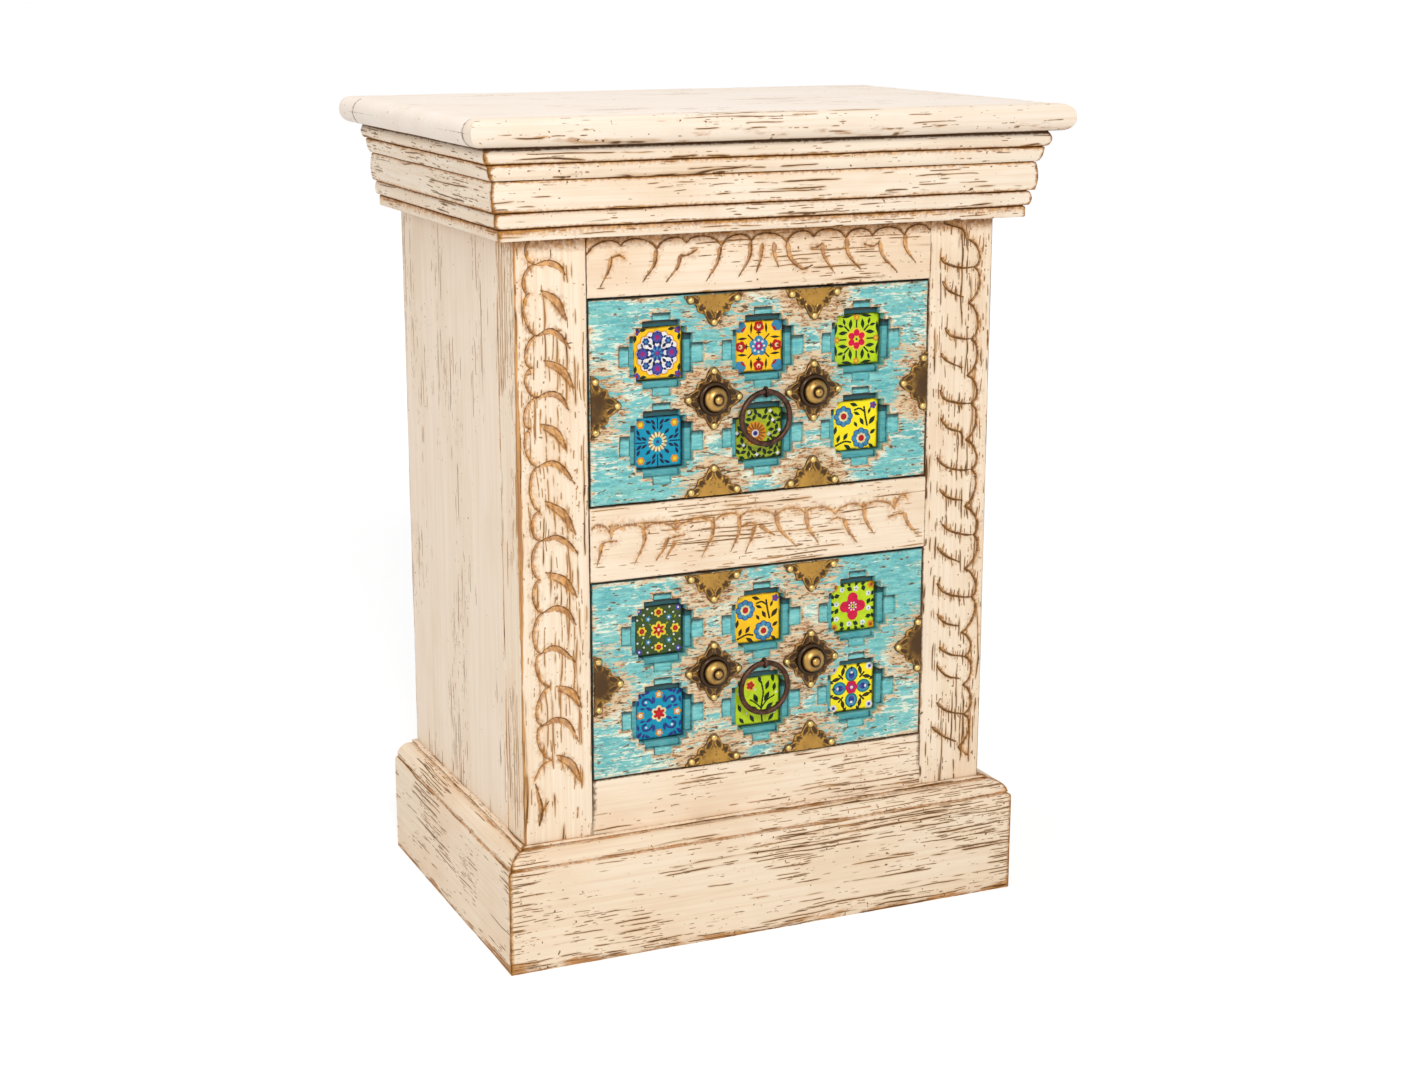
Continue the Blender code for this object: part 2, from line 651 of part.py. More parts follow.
    # The eye pin, and the ring that hangs in it and turns about its own top
    pivot = (0, -EYE_STAND_OFF, PULL_RISE)
    name = f"{level}_eye_pin"
    eye = place(name, torus(name, EYE_RADIUS, EYE_WIRE, EYE_STEPS, "Y"), IRON, slide, pivot)
    shank = rod(name + "_shank", EYE_SHANK, -EYE_STAND_OFF + EYE_RADIUS, EYE_SHANK_LENGTH, PULL_RISE)
    boolean(eye, cutter(name + "_shank", shank, slide), "UNION")
    name = f"{level}_ring"
    mesh = torus(name, RING_RADIUS, RING_WIRE, RING_STEPS, "X")
    mesh.transform(Matrix.Translation((0, 0, -RING_RADIUS)))
    place(name, mesh, IRON, slide, pivot)


drawer("upper", UPPER_Z, UPPER_TILES)
drawer("lower", LOWER_Z, LOWER_TILES)
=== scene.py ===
import math

import bmesh
import bpy
import numpy as np
from mathutils import Matrix, Vector, noise


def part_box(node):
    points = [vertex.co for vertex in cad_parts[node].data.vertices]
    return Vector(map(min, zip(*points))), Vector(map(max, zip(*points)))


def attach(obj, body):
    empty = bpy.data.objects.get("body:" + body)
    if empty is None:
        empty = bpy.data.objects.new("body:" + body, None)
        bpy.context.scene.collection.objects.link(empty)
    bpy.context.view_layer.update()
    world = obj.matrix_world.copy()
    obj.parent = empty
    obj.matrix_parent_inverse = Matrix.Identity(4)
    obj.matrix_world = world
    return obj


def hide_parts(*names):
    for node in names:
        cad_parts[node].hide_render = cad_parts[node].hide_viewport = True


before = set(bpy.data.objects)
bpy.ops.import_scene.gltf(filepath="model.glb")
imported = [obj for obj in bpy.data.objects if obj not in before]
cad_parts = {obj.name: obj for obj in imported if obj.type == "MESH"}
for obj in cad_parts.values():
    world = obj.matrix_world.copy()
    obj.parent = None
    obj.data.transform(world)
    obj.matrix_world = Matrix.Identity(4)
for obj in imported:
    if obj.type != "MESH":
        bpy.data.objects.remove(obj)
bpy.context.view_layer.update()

# Sizes are in millimetres where no comment says otherwise. The frame is the CAD's: x runs to the right, the
# front is at -y, and the floor is at z = 0.

# Side panels: two flat hardwood boards, glued behind the front posts. They carry cream chalk paint,
# rubbed down by hand and waxed, so bare wood shows along the arrises and in scratches along the grain.
PANEL_CREAM = ((0.93, 0.785, 0.63, 1), (0.82, 0.64, 0.465, 1))
WOOD_TAN = (0.60, 0.275, 0.075, 1)
WOOD_DEEP = (0.34, 0.130, 0.026, 1)
SCRATCH_BROWN = (0.085, 0.030, 0.004, 1)
SCRATCH_TAN = (0.36, 0.165, 0.045, 1)
STAIN_TAN = (0.56, 0.285, 0.075, 1)
CUT_DEEP = (0.36, 0.130, 0.020, 1)
CUT_TAN = (0.74, 0.36, 0.095, 1)
# Dark brown for grime in joints and for painted shade in gaps, along cut walls and under overhangs.
GRIME_AND_SHADE_BROWN = (0.12, 0.045, 0.005, 1)
# For each kind of scratch: metres between its rows, its width as a share of that, runs to the metre, how
# rare it is, and where its noise starts.
SCRATCHES = {
    "hair": (0.0052, 0.02, 5.5, 0.70, 4.0),
    "long": (0.0033, 0.07, 13, 0.675, 2.0),
    "short": (0.0019, 0.13, 50, 0.69, 6.0),
}
UNEVEN_SEED = 7


def corners(node):
    """The lowest and highest corner of a CAD node, in millimetres."""
    low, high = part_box(node)
    return np.array(low) * 1000, np.array(high) * 1000


def new_piece(name, points, faces, marks=None, crease=38):
    """A mesh object from points in millimetres, with marks on the points that its finish follows."""
    shape = bpy.data.meshes.new(name)
    shape.from_pydata((np.asarray(points) / 1000).tolist(), [], faces)
    turned_out = bmesh.new()
    turned_out.from_mesh(shape)
    bmesh.ops.recalc_face_normals(turned_out, faces=turned_out.faces[:])
    turned_out.to_mesh(shape)
    turned_out.free()
    for mark, amount in (marks or {}).items():
        layer = shape.attributes.new(mark, "FLOAT", "POINT")
        layer.data.foreach_set("value", np.asarray(amount, dtype=np.float32).ravel())
    shape.shade_smooth()
    shape.set_sharp_from_angle(angle=math.radians(crease))
    piece = bpy.data.objects.new(name, shape)
    bpy.context.scene.collection.objects.link(piece)
    return piece


def strips(spots, beside):
    """The four-sided faces between each loop of points and the next."""
    return np.stack([spots[:-1], beside[:-1], beside[1:], spots[1:]], axis=-1).reshape(-1, 4).tolist()


def close_loops(name, loops, marks=None, ring=False, crease=38):
    """One closed mesh from a row of closed loops, with an end at each side unless it is a ring."""
    rows, around = loops.shape[:2]
    spots = np.arange(rows * around).reshape(rows, around)
    if ring:
        spots = np.vstack([spots, spots[:1]])
    faces = strips(spots, np.roll(spots, -1, axis=1))
    if not ring:
        faces += [spots[0].tolist(), spots[-1].tolist()]
    return new_piece(name, loops.reshape(-1, 3), faces, marks, crease)


# The seed keeps the unevenness the same each time the script runs.
noise.seed_set(UNEVEN_SEED)


def wander(points, size, amount, seed):
    """Shifts points by a smooth unevenness, as planing and sanding by hand leave it."""
    start = Vector((seed * 17.3, seed * 5.1, seed * 9.7))
    flat = points.reshape(-1, 3)
    shifts = np.array([noise.noise_vector(Vector(p) / size + start) for p in flat.tolist()])
    return points + amount * shifts.reshape(points.shape)


def board_loops(low, high, along, radius=1.2, margin=7.0, step=14.0):
    """Loops of a board with rounded arrises, along one axis, and how worn each point is."""
    across = [axis for axis in range(3) if axis != along]
    half = (high - low)[across] / 2
    middle = (high + low)[across] / 2
    margins = np.minimum(margin, 0.3 * half)
    inset_most = margins.min()
    radius = min(radius, inset_most)
    quarter = (1.571, 1.047, 0.524, 0.0)
    turn = [(radius * (1 - math.sin(a)), radius * (1 - math.cos(a)), 1.0) for a in quarter]
    end = [(0.0, inset_most, 0.0)] + turn + [(margin, 0.0, 0.0)]
    run = np.arange(margin + step, high[along] - low[along] - margin - step / 2, step)
    stations = [(low[along] + u, inset, mark) for u, inset, mark in end]
    stations += [(low[along] + u, 0.0, 0.0) for u in run]
    stations += [(high[along] - u, inset, mark) for u, inset, mark in end[::-1]]
    loops, worn = [], []
    for place, inset, mark in stations:
        reach = half - inset
        rounding = max(radius - inset, 0.02)
        for sign_a, sign_b, start in ((1, 1, 0), (-1, 1, 90), (-1, -1, 180), (1, -1, 270)):
            tip = np.array([sign_a * reach[0], sign_b * reach[1]])
            middle_of_arc = tip - rounding * np.array([sign_a, sign_b])
            first, last = math.radians(start), math.radians(start + 90)
            spots = [tip - margins * np.array([-math.sin(first), math.cos(first)])]
            for a in np.linspace(first, last, 4):
                spots.append(middle_of_arc + rounding * np.array([math.cos(a), math.sin(a)]))
            spots.append(tip + margins * np.array([-math.sin(last), math.cos(last)]))
            for k, spot in enumerate(spots):
                point = np.zeros(3)
                point[across] = middle + spot
                point[along] = place
                loops.append(point)
                on_arris = 0 < k < 5 and inset < inset_most
                worn.append(max(mark, 1.0 if on_arris else 0.0))
    return np.array(loops).reshape(len(stations), -1, 3), np.array(worn)


def step_in(tree, kind, inputs, **choices):
    """Adds one shader node, sets its choices, and fills its inputs with values or with links."""
    made = tree.nodes.new("ShaderNode" + kind)
    for choice, value in choices.items():
        setattr(made, choice, value)
    for place, value in inputs.items():
        if isinstance(value, bpy.types.NodeSocket):
            tree.links.new(value, made.inputs[place])
        else:
            made.inputs[place].default_value = value
    return made


def figure(tree, operation, first, second):
    """One arithmetic step on two values."""
    return step_in(tree, "Math", {0: first, 1: second}, operation=operation).outputs[0]


def fade(tree, value, low, high):
    """0 below low, 1 above high, and a soft step between them."""
    inputs = {"Value": value, "From Min": low, "From Max": high}
    return step_in(tree, "MapRange", inputs, interpolation_type="SMOOTHSTEP").outputs[0]


def coat(tree, share, under, over):
    """One colour over another, as far as the share says."""
    inputs = {0: share, 6: under, 7: over}
    return step_in(tree, "Mix", inputs, data_type="RGBA").outputs[2]


def mottle(tree, spread, detail=2.0, rough=0.5, shift=0.0, bend=0.0):
    """Noise in the piece's own coordinates, with so many features to the metre along x, y and z."""
    where = step_in(tree, "TexCoord", {}).outputs["Object"]
    inputs = {"Vector": where, "Location": (shift, shift * 1.7, shift * 2.3), "Scale": spread}
    placed = step_in(tree, "Mapping", inputs).outputs[0]
    inputs = {"Vector": placed, "Scale": 1.0, "Detail": detail, "Roughness": rough, "Distortion": bend}
    return step_in(tree, "TexNoise", inputs).outputs[0]


def grain_spread(grain, along, across):
    """So many features to the metre along the grain, and so many across it."""
    return tuple(along if axis == grain else across for axis in "XYZ")


def mark_of(tree, name):
    """The mark of that name on the points of the mesh."""
    return step_in(tree, "Attribute", {}, attribute_name=name).outputs["Fac"]


def new_finish(name, **sockets):
    """An empty material with a shader, and the sockets that are the same all over it."""
    finish = bpy.data.materials.new(name)
    finish.use_nodes = True
    tree = finish.node_tree
    shader = tree.nodes["Principled BSDF"]
    for place, value in sockets.items():
        shader.inputs[place.replace("_", " ")].default_value = value
    return finish, tree, shader


def relief(tree, shader, height, strength, depth):
    """Fine bumps that follow a height."""
    inputs = {"Strength": strength, "Distance": depth, "Height": height}
    tree.links.new(step_in(tree, "Bump", inputs).outputs[0], shader.inputs["Normal"])


def reach_along(tree, vector, axis):
    """How far a vector reaches along an axis."""
    inputs = {0: vector, 1: axis}
    return step_in(tree, "VectorMath", inputs, operation="DOT_PRODUCT").outputs["Value"]


def grain_scratches(tree, grain, pitch, thin, runs, shown_from, shift, clusters):
    """Thin broken lines along the grain, more of them in the clusters, and the stain round them."""
    where = step_in(tree, "TexCoord", {}).outputs["Object"]
    along_axis = tuple(1.0 if axis == grain else 0.0 for axis in "XYZ")
    weights = iter((0.73, 1.0))
    across_axis = tuple(0.0 if axis == grain else next(weights) for axis in "XYZ")
    along = reach_along(tree, where, along_axis)
    across = reach_along(tree, where, across_axis)
    sway = figure(tree, "MULTIPLY", mottle(tree, grain_spread(grain, 11, 45), 3, 0.55, shift), 0.008)
    rows = figure(tree, "DIVIDE", figure(tree, "ADD", across, sway), pitch)
    row = figure(tree, "FLOOR", rows, 0.0)
    in_row = figure(tree, "SUBTRACT", figure(tree, "FRACT", rows, 0.0), 0.5)
    from_line = figure(tree, "ABSOLUTE", in_row, 0.0)
    spot = {0: figure(tree, "MULTIPLY", along, runs), 1: figure(tree, "MULTIPLY", row, 5.37), 2: shift}
    spot = step_in(tree, "CombineXYZ", spot).outputs[0]
    inputs = {"Vector": spot, "Scale": 1.0, "Detail": 3.0, "Roughness": 0.65}
    run = step_in(tree, "TexNoise", inputs).outputs[0]
    run = figure(tree, "ADD", run, figure(tree, "MULTIPLY", clusters, 0.15))
    facing = step_in(tree, "NewGeometry", {}).outputs["Normal"]
    end_on = figure(tree, "ABSOLUTE", reach_along(tree, facing, along_axis), 0.0)
    off_ends = figure(tree, "SUBTRACT", 1.0, fade(tree, end_on, 0.35, 0.65))
    shown = figure(tree, "MULTIPLY", fade(tree, run, shown_from, shown_from + 0.05), off_ends)
    width = figure(tree, "MULTIPLY", fade(tree, run, shown_from, shown_from + 0.22), thin)
    sharp = figure(tree, "SUBTRACT", figure(tree, "ADD", width, 0.09), from_line)
    line = figure(tree, "MULTIPLY", shown, fade(tree, sharp, -0.03, 0.05))
    return line, figure(tree, "MULTIPLY", shown, fade(tree, sharp, -0.30, 0.05))


def cream_paint(name, grain, tones, distress=0.0, faint=0.5):
    """Chalk paint over wood: brush marks, scratches, specks, rubbed arrises, stained cuts, grime and
    painted shade.
    """
    finish, tree, shader = new_finish(name, Specular_IOR_Level=0.2)
    worn, cut, grime_and_shade = mark_of(tree, "worn"), mark_of(tree, "cut"), mark_of(tree, "grime_and_shade")
    patches = fade(tree, mottle(tree, grain_spread(grain, 8, 15), 3, 0.55, 3.1), 0.40, 0.62)
    clusters = figure(tree, "MAXIMUM", patches, figure(tree, "MINIMUM", worn, 1.0))
    clusters = figure(tree, "MAXIMUM", clusters, mark_of(tree, "scuff"))
    brushed = mottle(tree, grain_spread(grain, 9, 420), 3, 0.6)
    colour = coat(tree, figure(tree, "MULTIPLY", fade(tree, brushed, 0.35, 0.75), 0.6), *tones)
    clouded = fade(tree, mottle(tree, grain_spread(grain, 10, 22), 3, 0.6, 12.4), 0.42, 0.72)
    colour = coat(tree, figure(tree, "MULTIPLY", clouded, 0.55), colour, tones[1])

    lines, stain = {}, {}
    for kind, (pitch, thin, runs, rare, shift) in SCRATCHES.items():
        made = grain_scratches(tree, grain, pitch, thin, runs, rare - distress, shift, clusters)
        lines[kind], stain[kind] = made
    scratches = figure(tree, "MAXIMUM", lines["long"], lines["short"])
    scratches = figure(tree, "MAXIMUM", scratches, lines["hair"])
    stains = figure(tree, "MAXIMUM", stain["long"], stain["short"])
    stains = figure(tree, "MAXIMUM", stains, stain["hair"])
    pocked = mottle(tree, (300, 300, 300), 1, 0.5, 9.2)
    pocked = figure(tree, "ADD", pocked, figure(tree, "MULTIPLY", clusters, 0.06))
    more = 0.3 * distress
    specks = fade(tree, pocked, 0.785 - more, 0.815 - more)
    stains = figure(tree, "MAXIMUM", stains, fade(tree, pocked, 0.745 - more, 0.805 - more))

    rub = figure(tree, "MULTIPLY", mottle(tree, grain_spread(grain, 26, 130), 5, 0.65, 5.5), 0.75)
    rub = figure(tree, "ADD", rub, figure(tree, "MULTIPLY", worn, 0.45))
    rub = fade(tree, rub, 0.725, 0.85)
    streaks = fade(tree, mottle(tree, grain_spread(grain, 30, 520), 3, 0.6, 2.2), 0.38, 0.62)
    wood = coat(tree, streaks, WOOD_DEEP, WOOD_TAN)
    colour = coat(tree, figure(tree, "MULTIPLY", rub, 0.9), colour, wood)
    colour = coat(tree, figure(tree, "MULTIPLY", stains, 0.50), colour, STAIN_TAN)
    specks = figure(tree, "MULTIPLY", specks, 0.85)
    marked = figure(tree, "MAXIMUM", specks, figure(tree, "MULTIPLY", scratches, 0.96))
    paler = mottle(tree, grain_spread(grain, 26, 70), 2, 0.5, 7.7)
    paler = fade(tree, paler, 0.75 - 0.5 * faint, 0.95 - 0.5 * faint)
    colour = coat(tree, marked, colour, coat(tree, paler, SCRATCH_BROWN, SCRATCH_TAN))

    ragged = figure(tree, "SUBTRACT", mottle(tree, (330, 330, 330), 3, 0.6, 8.1), 0.5)
    soaked = figure(tree, "ADD", cut, figure(tree, "MULTIPLY", ragged, fade(tree, cut, 0.02, 0.15)))
    filled = fade(tree, mottle(tree, (190, 190, 190), 4, 0.65, 3.3), 0.36, 0.66)
    filled = coat(tree, filled, CUT_DEEP, CUT_TAN)
    colour = coat(tree, figure(tree, "MULTIPLY", fade(tree, soaked, 0.05, 0.60), 0.80), colour, filled)
    # This darkening is real grime in joints and mitres, painted shade in gaps, along cut walls and under
    # overhangs, and the darkened quirks of the mouldings.
    dark = figure(tree, "ADD", grime_and_shade, figure(tree, "MULTIPLY", ragged, fade(tree, grime_and_shade, 0.05, 0.25)))
    dark = fade(tree, dark, 0.15, 0.75)
    colour = coat(tree, figure(tree, "MULTIPLY", dark, 0.90), colour, GRIME_AND_SHADE_BROWN)
    tree.links.new(colour, shader.inputs["Base Color"])

    rough = figure(tree, "ADD", figure(tree, "MULTIPLY", rub, 0.15), 0.52)
    tree.links.new(rough, shader.inputs["Roughness"])
    height = figure(tree, "SUBTRACT", figure(tree, "MULTIPLY", brushed, 0.6), rub)
    relief(tree, shader, height, 0.45, 0.0004)
    return finish


panel_cream = cream_paint("cream paint, upright grain", "Z", PANEL_CREAM, -0.024)


def painted_board(node, seed):
    """An upright board in place of its CAD node, with uneven, chipped arrises."""
    low, high = corners(node)
    loops, worn = board_loops(low, high, 2, 1.0)
    loops = wander(loops, 45.0, 0.25, seed)
    chipped = wander(loops, 9.0, 1.1, seed + 3.0)
    inward = np.sign((low + high) / 2 - loops)
    bites = np.clip(np.abs(chipped - loops).sum(axis=2) - 1.0, 0.0, 0.6) * worn.reshape(loops.shape[:2])
    loops = loops + inward * bites[..., None] * 0.6
    piece = close_loops(node + "_painted", loops, {"worn": worn})
    piece.data.materials.append(panel_cream)
    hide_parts(node)
    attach(piece, "carcass")


painted_board("side_panel_left", 1.0)
painted_board("side_panel_right", 2.0)

# Back panel, bottom board, drawer runners, kickers and stops: sawn hardwood left bare, glued and pinned
# inside the case. They keep their CAD shapes; a small bevel takes off the saw's sharp arrises.
BARE_LIGHT = (0.50, 0.31, 0.155, 1)
BARE_DARK = (0.30, 0.165, 0.07, 1)
PORE_BROWN = (0.16, 0.08, 0.035, 1)
EASED_WIDTH = 0.7
EASED_FROM = math.radians(50)


def bare_wood(name, grain):
    """Sawn wood with growth rings along the grain, pores and saw fuzz."""
    finish, tree, shader = new_finish(name, Specular_IOR_Level=0.3)
    rings = mottle(tree, grain_spread(grain, 3.5, 75), 4, 0.55, 1.1, 0.6)
    pores = fade(tree, mottle(tree, grain_spread(grain, 55, 900), 2, 0.6, 6.0), 0.58, 0.70)
    patches = mottle(tree, (7, 7, 7), 2, 0.5, 2.9)
    share = fade(tree, figure(tree, "ADD", rings, figure(tree, "MULTIPLY", patches, 0.35)), 0.48, 0.86)
    colour = coat(tree, share, BARE_LIGHT, BARE_DARK)
    colour = coat(tree, figure(tree, "MULTIPLY", pores, 0.7), colour, PORE_BROWN)
    tree.links.new(colour, shader.inputs["Base Color"])
    rough = figure(tree, "ADD", figure(tree, "MULTIPLY", rings, 0.2), 0.58)
    tree.links.new(rough, shader.inputs["Roughness"])
    relief(tree, shader, figure(tree, "SUBTRACT", rings, pores), 0.4, 0.0003)
    return finish


wood_along = {grain: bare_wood("bare wood, grain along " + grain.lower(), grain) for grain in "XYZ"}


def keep_bare(node, grain):
    """Shows a CAD board as it is, with its wood finish and eased arrises."""
    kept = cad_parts[node]
    kept.data.materials.clear()
    kept.data.materials.append(wood_along[grain])
    eased = kept.modifiers.new("eased arrises", "BEVEL")
    eased.width = EASED_WIDTH / 1000
    eased.segments = 2
    eased.limit_method = "ANGLE"
    eased.angle_limit = EASED_FROM


keep_bare("back_panel", "Z")
keep_bare("bottom_board", "X")
for side in ("left", "right"):
    for level in ("upper", "lower"):
        keep_bare(f"runner_{level}_{side}", "Y")
    keep_bare(f"kicker_{side}", "Y")
for level in ("upper", "lower"):
    keep_bare(f"stop_{level}", "X")

# Front posts and rails: thick hardwood, tenoned together. A carver cut scalloped lines and comma-shaped
# gouges into them with a V-tool before painting, and the rub-down left the cuts stained brown.
FRAME_FACE = -121.5
FRAME_DEPTH = 37.0
FRAME_TOP = 609.7
POST_INNER = 140.0
POST_OUTER = 194.0
RAIL_END = 139.7
TOP_RAIL_FOOT = 499.0
MIDDLE_RAIL_FOOT = 289.0
MIDDLE_RAIL_HEAD = 345.0
BOTTOM_RAIL_FOOT = 63.5
BOTTOM_RAIL_HEAD = 135.0
PLINTH_TOP = 93.0
CARVING_TOP = 547.0
BEHIND_CORNICE_FROM = 552.0
OPENINGS_MIDDLE = 317.0
OPENINGS_REACH = 190.0
# Heights from which the cornice's shadow is painted on the posts and the top rail: a dark band from the
# first, and a tan tint from the second, lower height.
CORNICE_SHADE_FROM = 538.0
CORNICE_SHADE_TINT_FROM = 532.0
FRAME_ARRIS = 1.3
GROOVE_DEPTH = 1.0
GOUGE_DEPTH = 1.7
CARVED_STEP = 0.68
PLAIN_STEP = 13.0
LEFT_WEAR_MIDDLE = 345.0
LEFT_WEAR_REACH = 95.0
FRAME_CREAM = ((0.92, 0.775, 0.60, 1), (0.80, 0.575, 0.375, 1))
rail_cream = cream_paint("cream paint on the rails", "X", FRAME_CREAM, 0.012, 0.6)
left_cream = cream_paint("cream paint on the left post", "Z", FRAME_CREAM, 0.03, 0.85)
right_cream = cream_paint("cream paint on the right post", "Z", FRAME_CREAM, 0.06, 0.4)


def smooth_path(points, count=36):
    """A smooth curve through the given points."""
    points = np.array(points, dtype=float)
    if len(points) == 2:
        points = np.array([points[0], points.mean(axis=0), points[1]])
    padded = np.vstack([2 * points[0] - points[1], points, 2 * points[-1] - points[-2]])
    path = []
    for u in np.linspace(0, len(points) - 1, count):
        k = min(int(u), len(points) - 2)
        t = u - k
        a, b, c, d = padded[k:k + 4]
        straight = 2 * b + (c - a) * t
        bent = straight + (2 * a - 5 * b + 4 * c - d) * t ** 2 + (3 * b - a - 3 * c + d) * t ** 3
        path.append(0.5 * bent)
    return np.array(path)


def carve(x, z, cuts):
    """How deep, stained and scuffed the carver's cuts leave each point of a face, and the shade painted
    along their walls.
    """
    depth, stain, dark, scuff = (np.zeros(x.shape) for _ in range(4))
    for points, steep, gentle, deep, taper_to, shade in cuts:
        path = smooth_path(points)
        reach = steep + gentle + 12.0
        low, high = path.min(axis=0) - reach, path.max(axis=0) + reach
        near = (x > low[0]) & (x < high[0]) & (z > low[1]) & (z < high[1])
        away_x = x[near][:, None] - path[:, 0]
        away_z = z[near][:, None] - path[:, 1]
        away = np.hypot(away_x, away_z)
        nearest = away.argmin(axis=1)
        row = np.arange(len(nearest))
        away = away[row, nearest]
        heading = np.gradient(path, axis=0)[nearest]
        turned = heading[:, 0] * away_z[row, nearest] - heading[:, 1] * away_x[row, nearest]
        over = np.where(turned > 0, away, -away)
        t = nearest / (len(path) - 1)
        if taper_to == "both":
            taper = np.clip(np.sin(math.pi * np.clip(t, 0.02, 0.98)), 0, 1) ** 0.6
        elif taper_to in ("tail", "head"):
            t = 1 - t if taper_to == "head" else t
            taper = np.clip(t * 6 + 0.4, 0, 1) * (1 - 0.97 * t) ** 0.6
        else:
            taper = np.clip(np.minimum(t, 1 - t) * 9 + 0.5, 0, 1)
        wall, slope = over + steep * taper, gentle * taper - over
        inside = np.clip(wall / 0.5 + 0.4, 0, 1) * np.clip(slope / 0.5 + 0.4, 0, 1)
        share = np.clip(wall / ((steep + gentle) * taper + 0.1), 0, 1)
        trough = inside * (1 - share) ** 0.8 * deep * taper ** 0.6
        swell = 0.36 * np.exp(-away / 2.8) * taper ** 0.5
        halo = 0.52 * np.exp(-away / 3.2) * taper ** 0.5
        # Painted shade: a dark line along each cut's steep wall, and a fainter one along its slope.
        wall_shade = np.exp(-((wall - 0.2) / 0.55) ** 2) + 0.55 * np.exp(-((slope - 0.1) / 0.45) ** 2)
        depth[near] = np.maximum(depth[near], trough + swell)
        stain[near] = np.maximum(stain[near], np.maximum(0.85 * inside, halo))
        dark[near] = np.maximum(dark[near], shade * wall_shade * (away < steep + gentle + 1.0))
        scuff[near] = np.maximum(scuff[near], np.exp(-(away / 8.0) ** 2))
    return depth, stain, np.clip(dark, 0, 1), scuff


def carved_piece(node, along_z, stations, face_lines, cuts, finish, scuffed, strip=None):
    """A post or rail with a carved face, worn front arrises, and shade painted on its sides to the drawers
    and under the cornice.
    """
    low, high = face_lines[0], face_lines[-1]
    quarter = np.linspace(0, math.pi / 2, 4)
    bend_in = FRAME_ARRIS * (1 - np.cos(quarter))
    bend_back = FRAME_ARRIS * (1 - np.sin(quarter))
    first_line, last_line = low + FRAME_ARRIS + 0.3, high - FRAME_ARRIS - 0.3
    inner = face_lines[(face_lines > first_line) & (face_lines < last_line)]
    side_rows = np.array([FRAME_DEPTH, 18.0, 8.0])
    across = np.concatenate([[low] * 3, low + bend_in, inner, high - bend_in[::-1], [high] * 3])
    setback = np.concatenate([side_rows, bend_back, 0 * inner, bend_back[::-1], side_rows[::-1]])
    place, over = np.meshgrid(stations, across, indexing="ij")
    x, z = (over, place) if along_z else (place, over)
    depth, stain, dark, scuff = carve(x, z, cuts)
    on_face = (setback < FRAME_ARRIS * 0.9)[None, :]
    y = FRAME_FACE + setback[None, :] + np.where(on_face, depth, 0.0)
    loops = wander(np.stack([x, y, z], axis=-1), 50.0, 0.22, low * 0.01)
    from_edge = np.minimum(over - low, high - over) + setback[None, :]
    worn = 0.85 * np.clip(1 - from_edge / 5.0, 0, 1)
    if strip:
        worn = np.maximum(worn, strip(x, setback[None, :] + 0 * x, z))
    if along_z:
        to_drawer = np.abs(np.abs(over) - POST_INNER)
    else:
        to_drawer = np.minimum(over - low, high - over)
    beside_drawer = (to_drawer < 0.9) & (np.abs(z - OPENINGS_MIDDLE) < OPENINGS_REACH)
    # Painted shade: the sides facing the drawer openings are dark, as the shade of the gaps.
    gap_shade = np.clip(setback[None, :] / 2.4, 0.2, 1.0) * beside_drawer
    dark = np.maximum(np.where(on_face, dark, 0.0), gap_shade)
    # Painted shadow under the cornice: the paint darkens from 538 up and takes a tan tint from 532 up.
    dark = np.maximum(dark, 0.62 * np.clip((z - CORNICE_SHADE_FROM) / 6.0, 0, 1))
    under_cornice = 0.5 * np.clip((z - CORNICE_SHADE_TINT_FROM) / 8.0, 0, 1)
    stain = np.maximum(np.where(on_face, stain, 0.0), under_cornice)
    if not along_z:
        seam = np.where(z < MIDDLE_RAIL_FOOT, np.clip((z - PLINTH_TOP) / 30, 0.3, 0.75), 0.75)
        dark = np.maximum(dark, seam * (RAIL_END - np.abs(place) < 0.5))
    marks = {"worn": worn, "cut": stain, "grime_and_shade": dark, "scuff": scuffed * scuff * on_face}
    piece = close_loops(node + "_carved", loops, marks, crease=50)
    piece.data.materials.append(finish)
    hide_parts(node)
    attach(piece, "carcass")


def groove(*points, wide=1.5, shade=0.75):
    """A line of even width, cut with a small V-tool."""
    return points, 0.45 * wide, 0.55 * wide, GROOVE_DEPTH, "blunt", shade


def gouge(*points, steep=0.9, gentle=3.2, shade=0.75, taper_to="tail"):
    """A stroke of the gouge: a steep wall to the right of its path and a gentle slope to the left."""
    return points, steep, gentle, GOUGE_DEPTH, taper_to, shade


def scallops(cusps, bulge_x, bulge_z, wide=1.5, shade=0.75):
    """Round lobes between cusps, each bulging out to one side."""
    lobes = []
    for start, end in zip(cusps[:-1], cusps[1:]):
        spots = []
        for t in (0.0, 0.12, 0.32, 0.5, 0.68, 0.88, 1.0):
            out = math.sin(math.pi * t) ** 0.55
            over = start[0] + t * (end[0] - start[0]) + out * bulge_x
            spots.append((over, start[1] + t * (end[1] - start[1]) + out * bulge_z))
        lobes.append(groove(*spots, wide=wide, shade=shade))
    return lobes


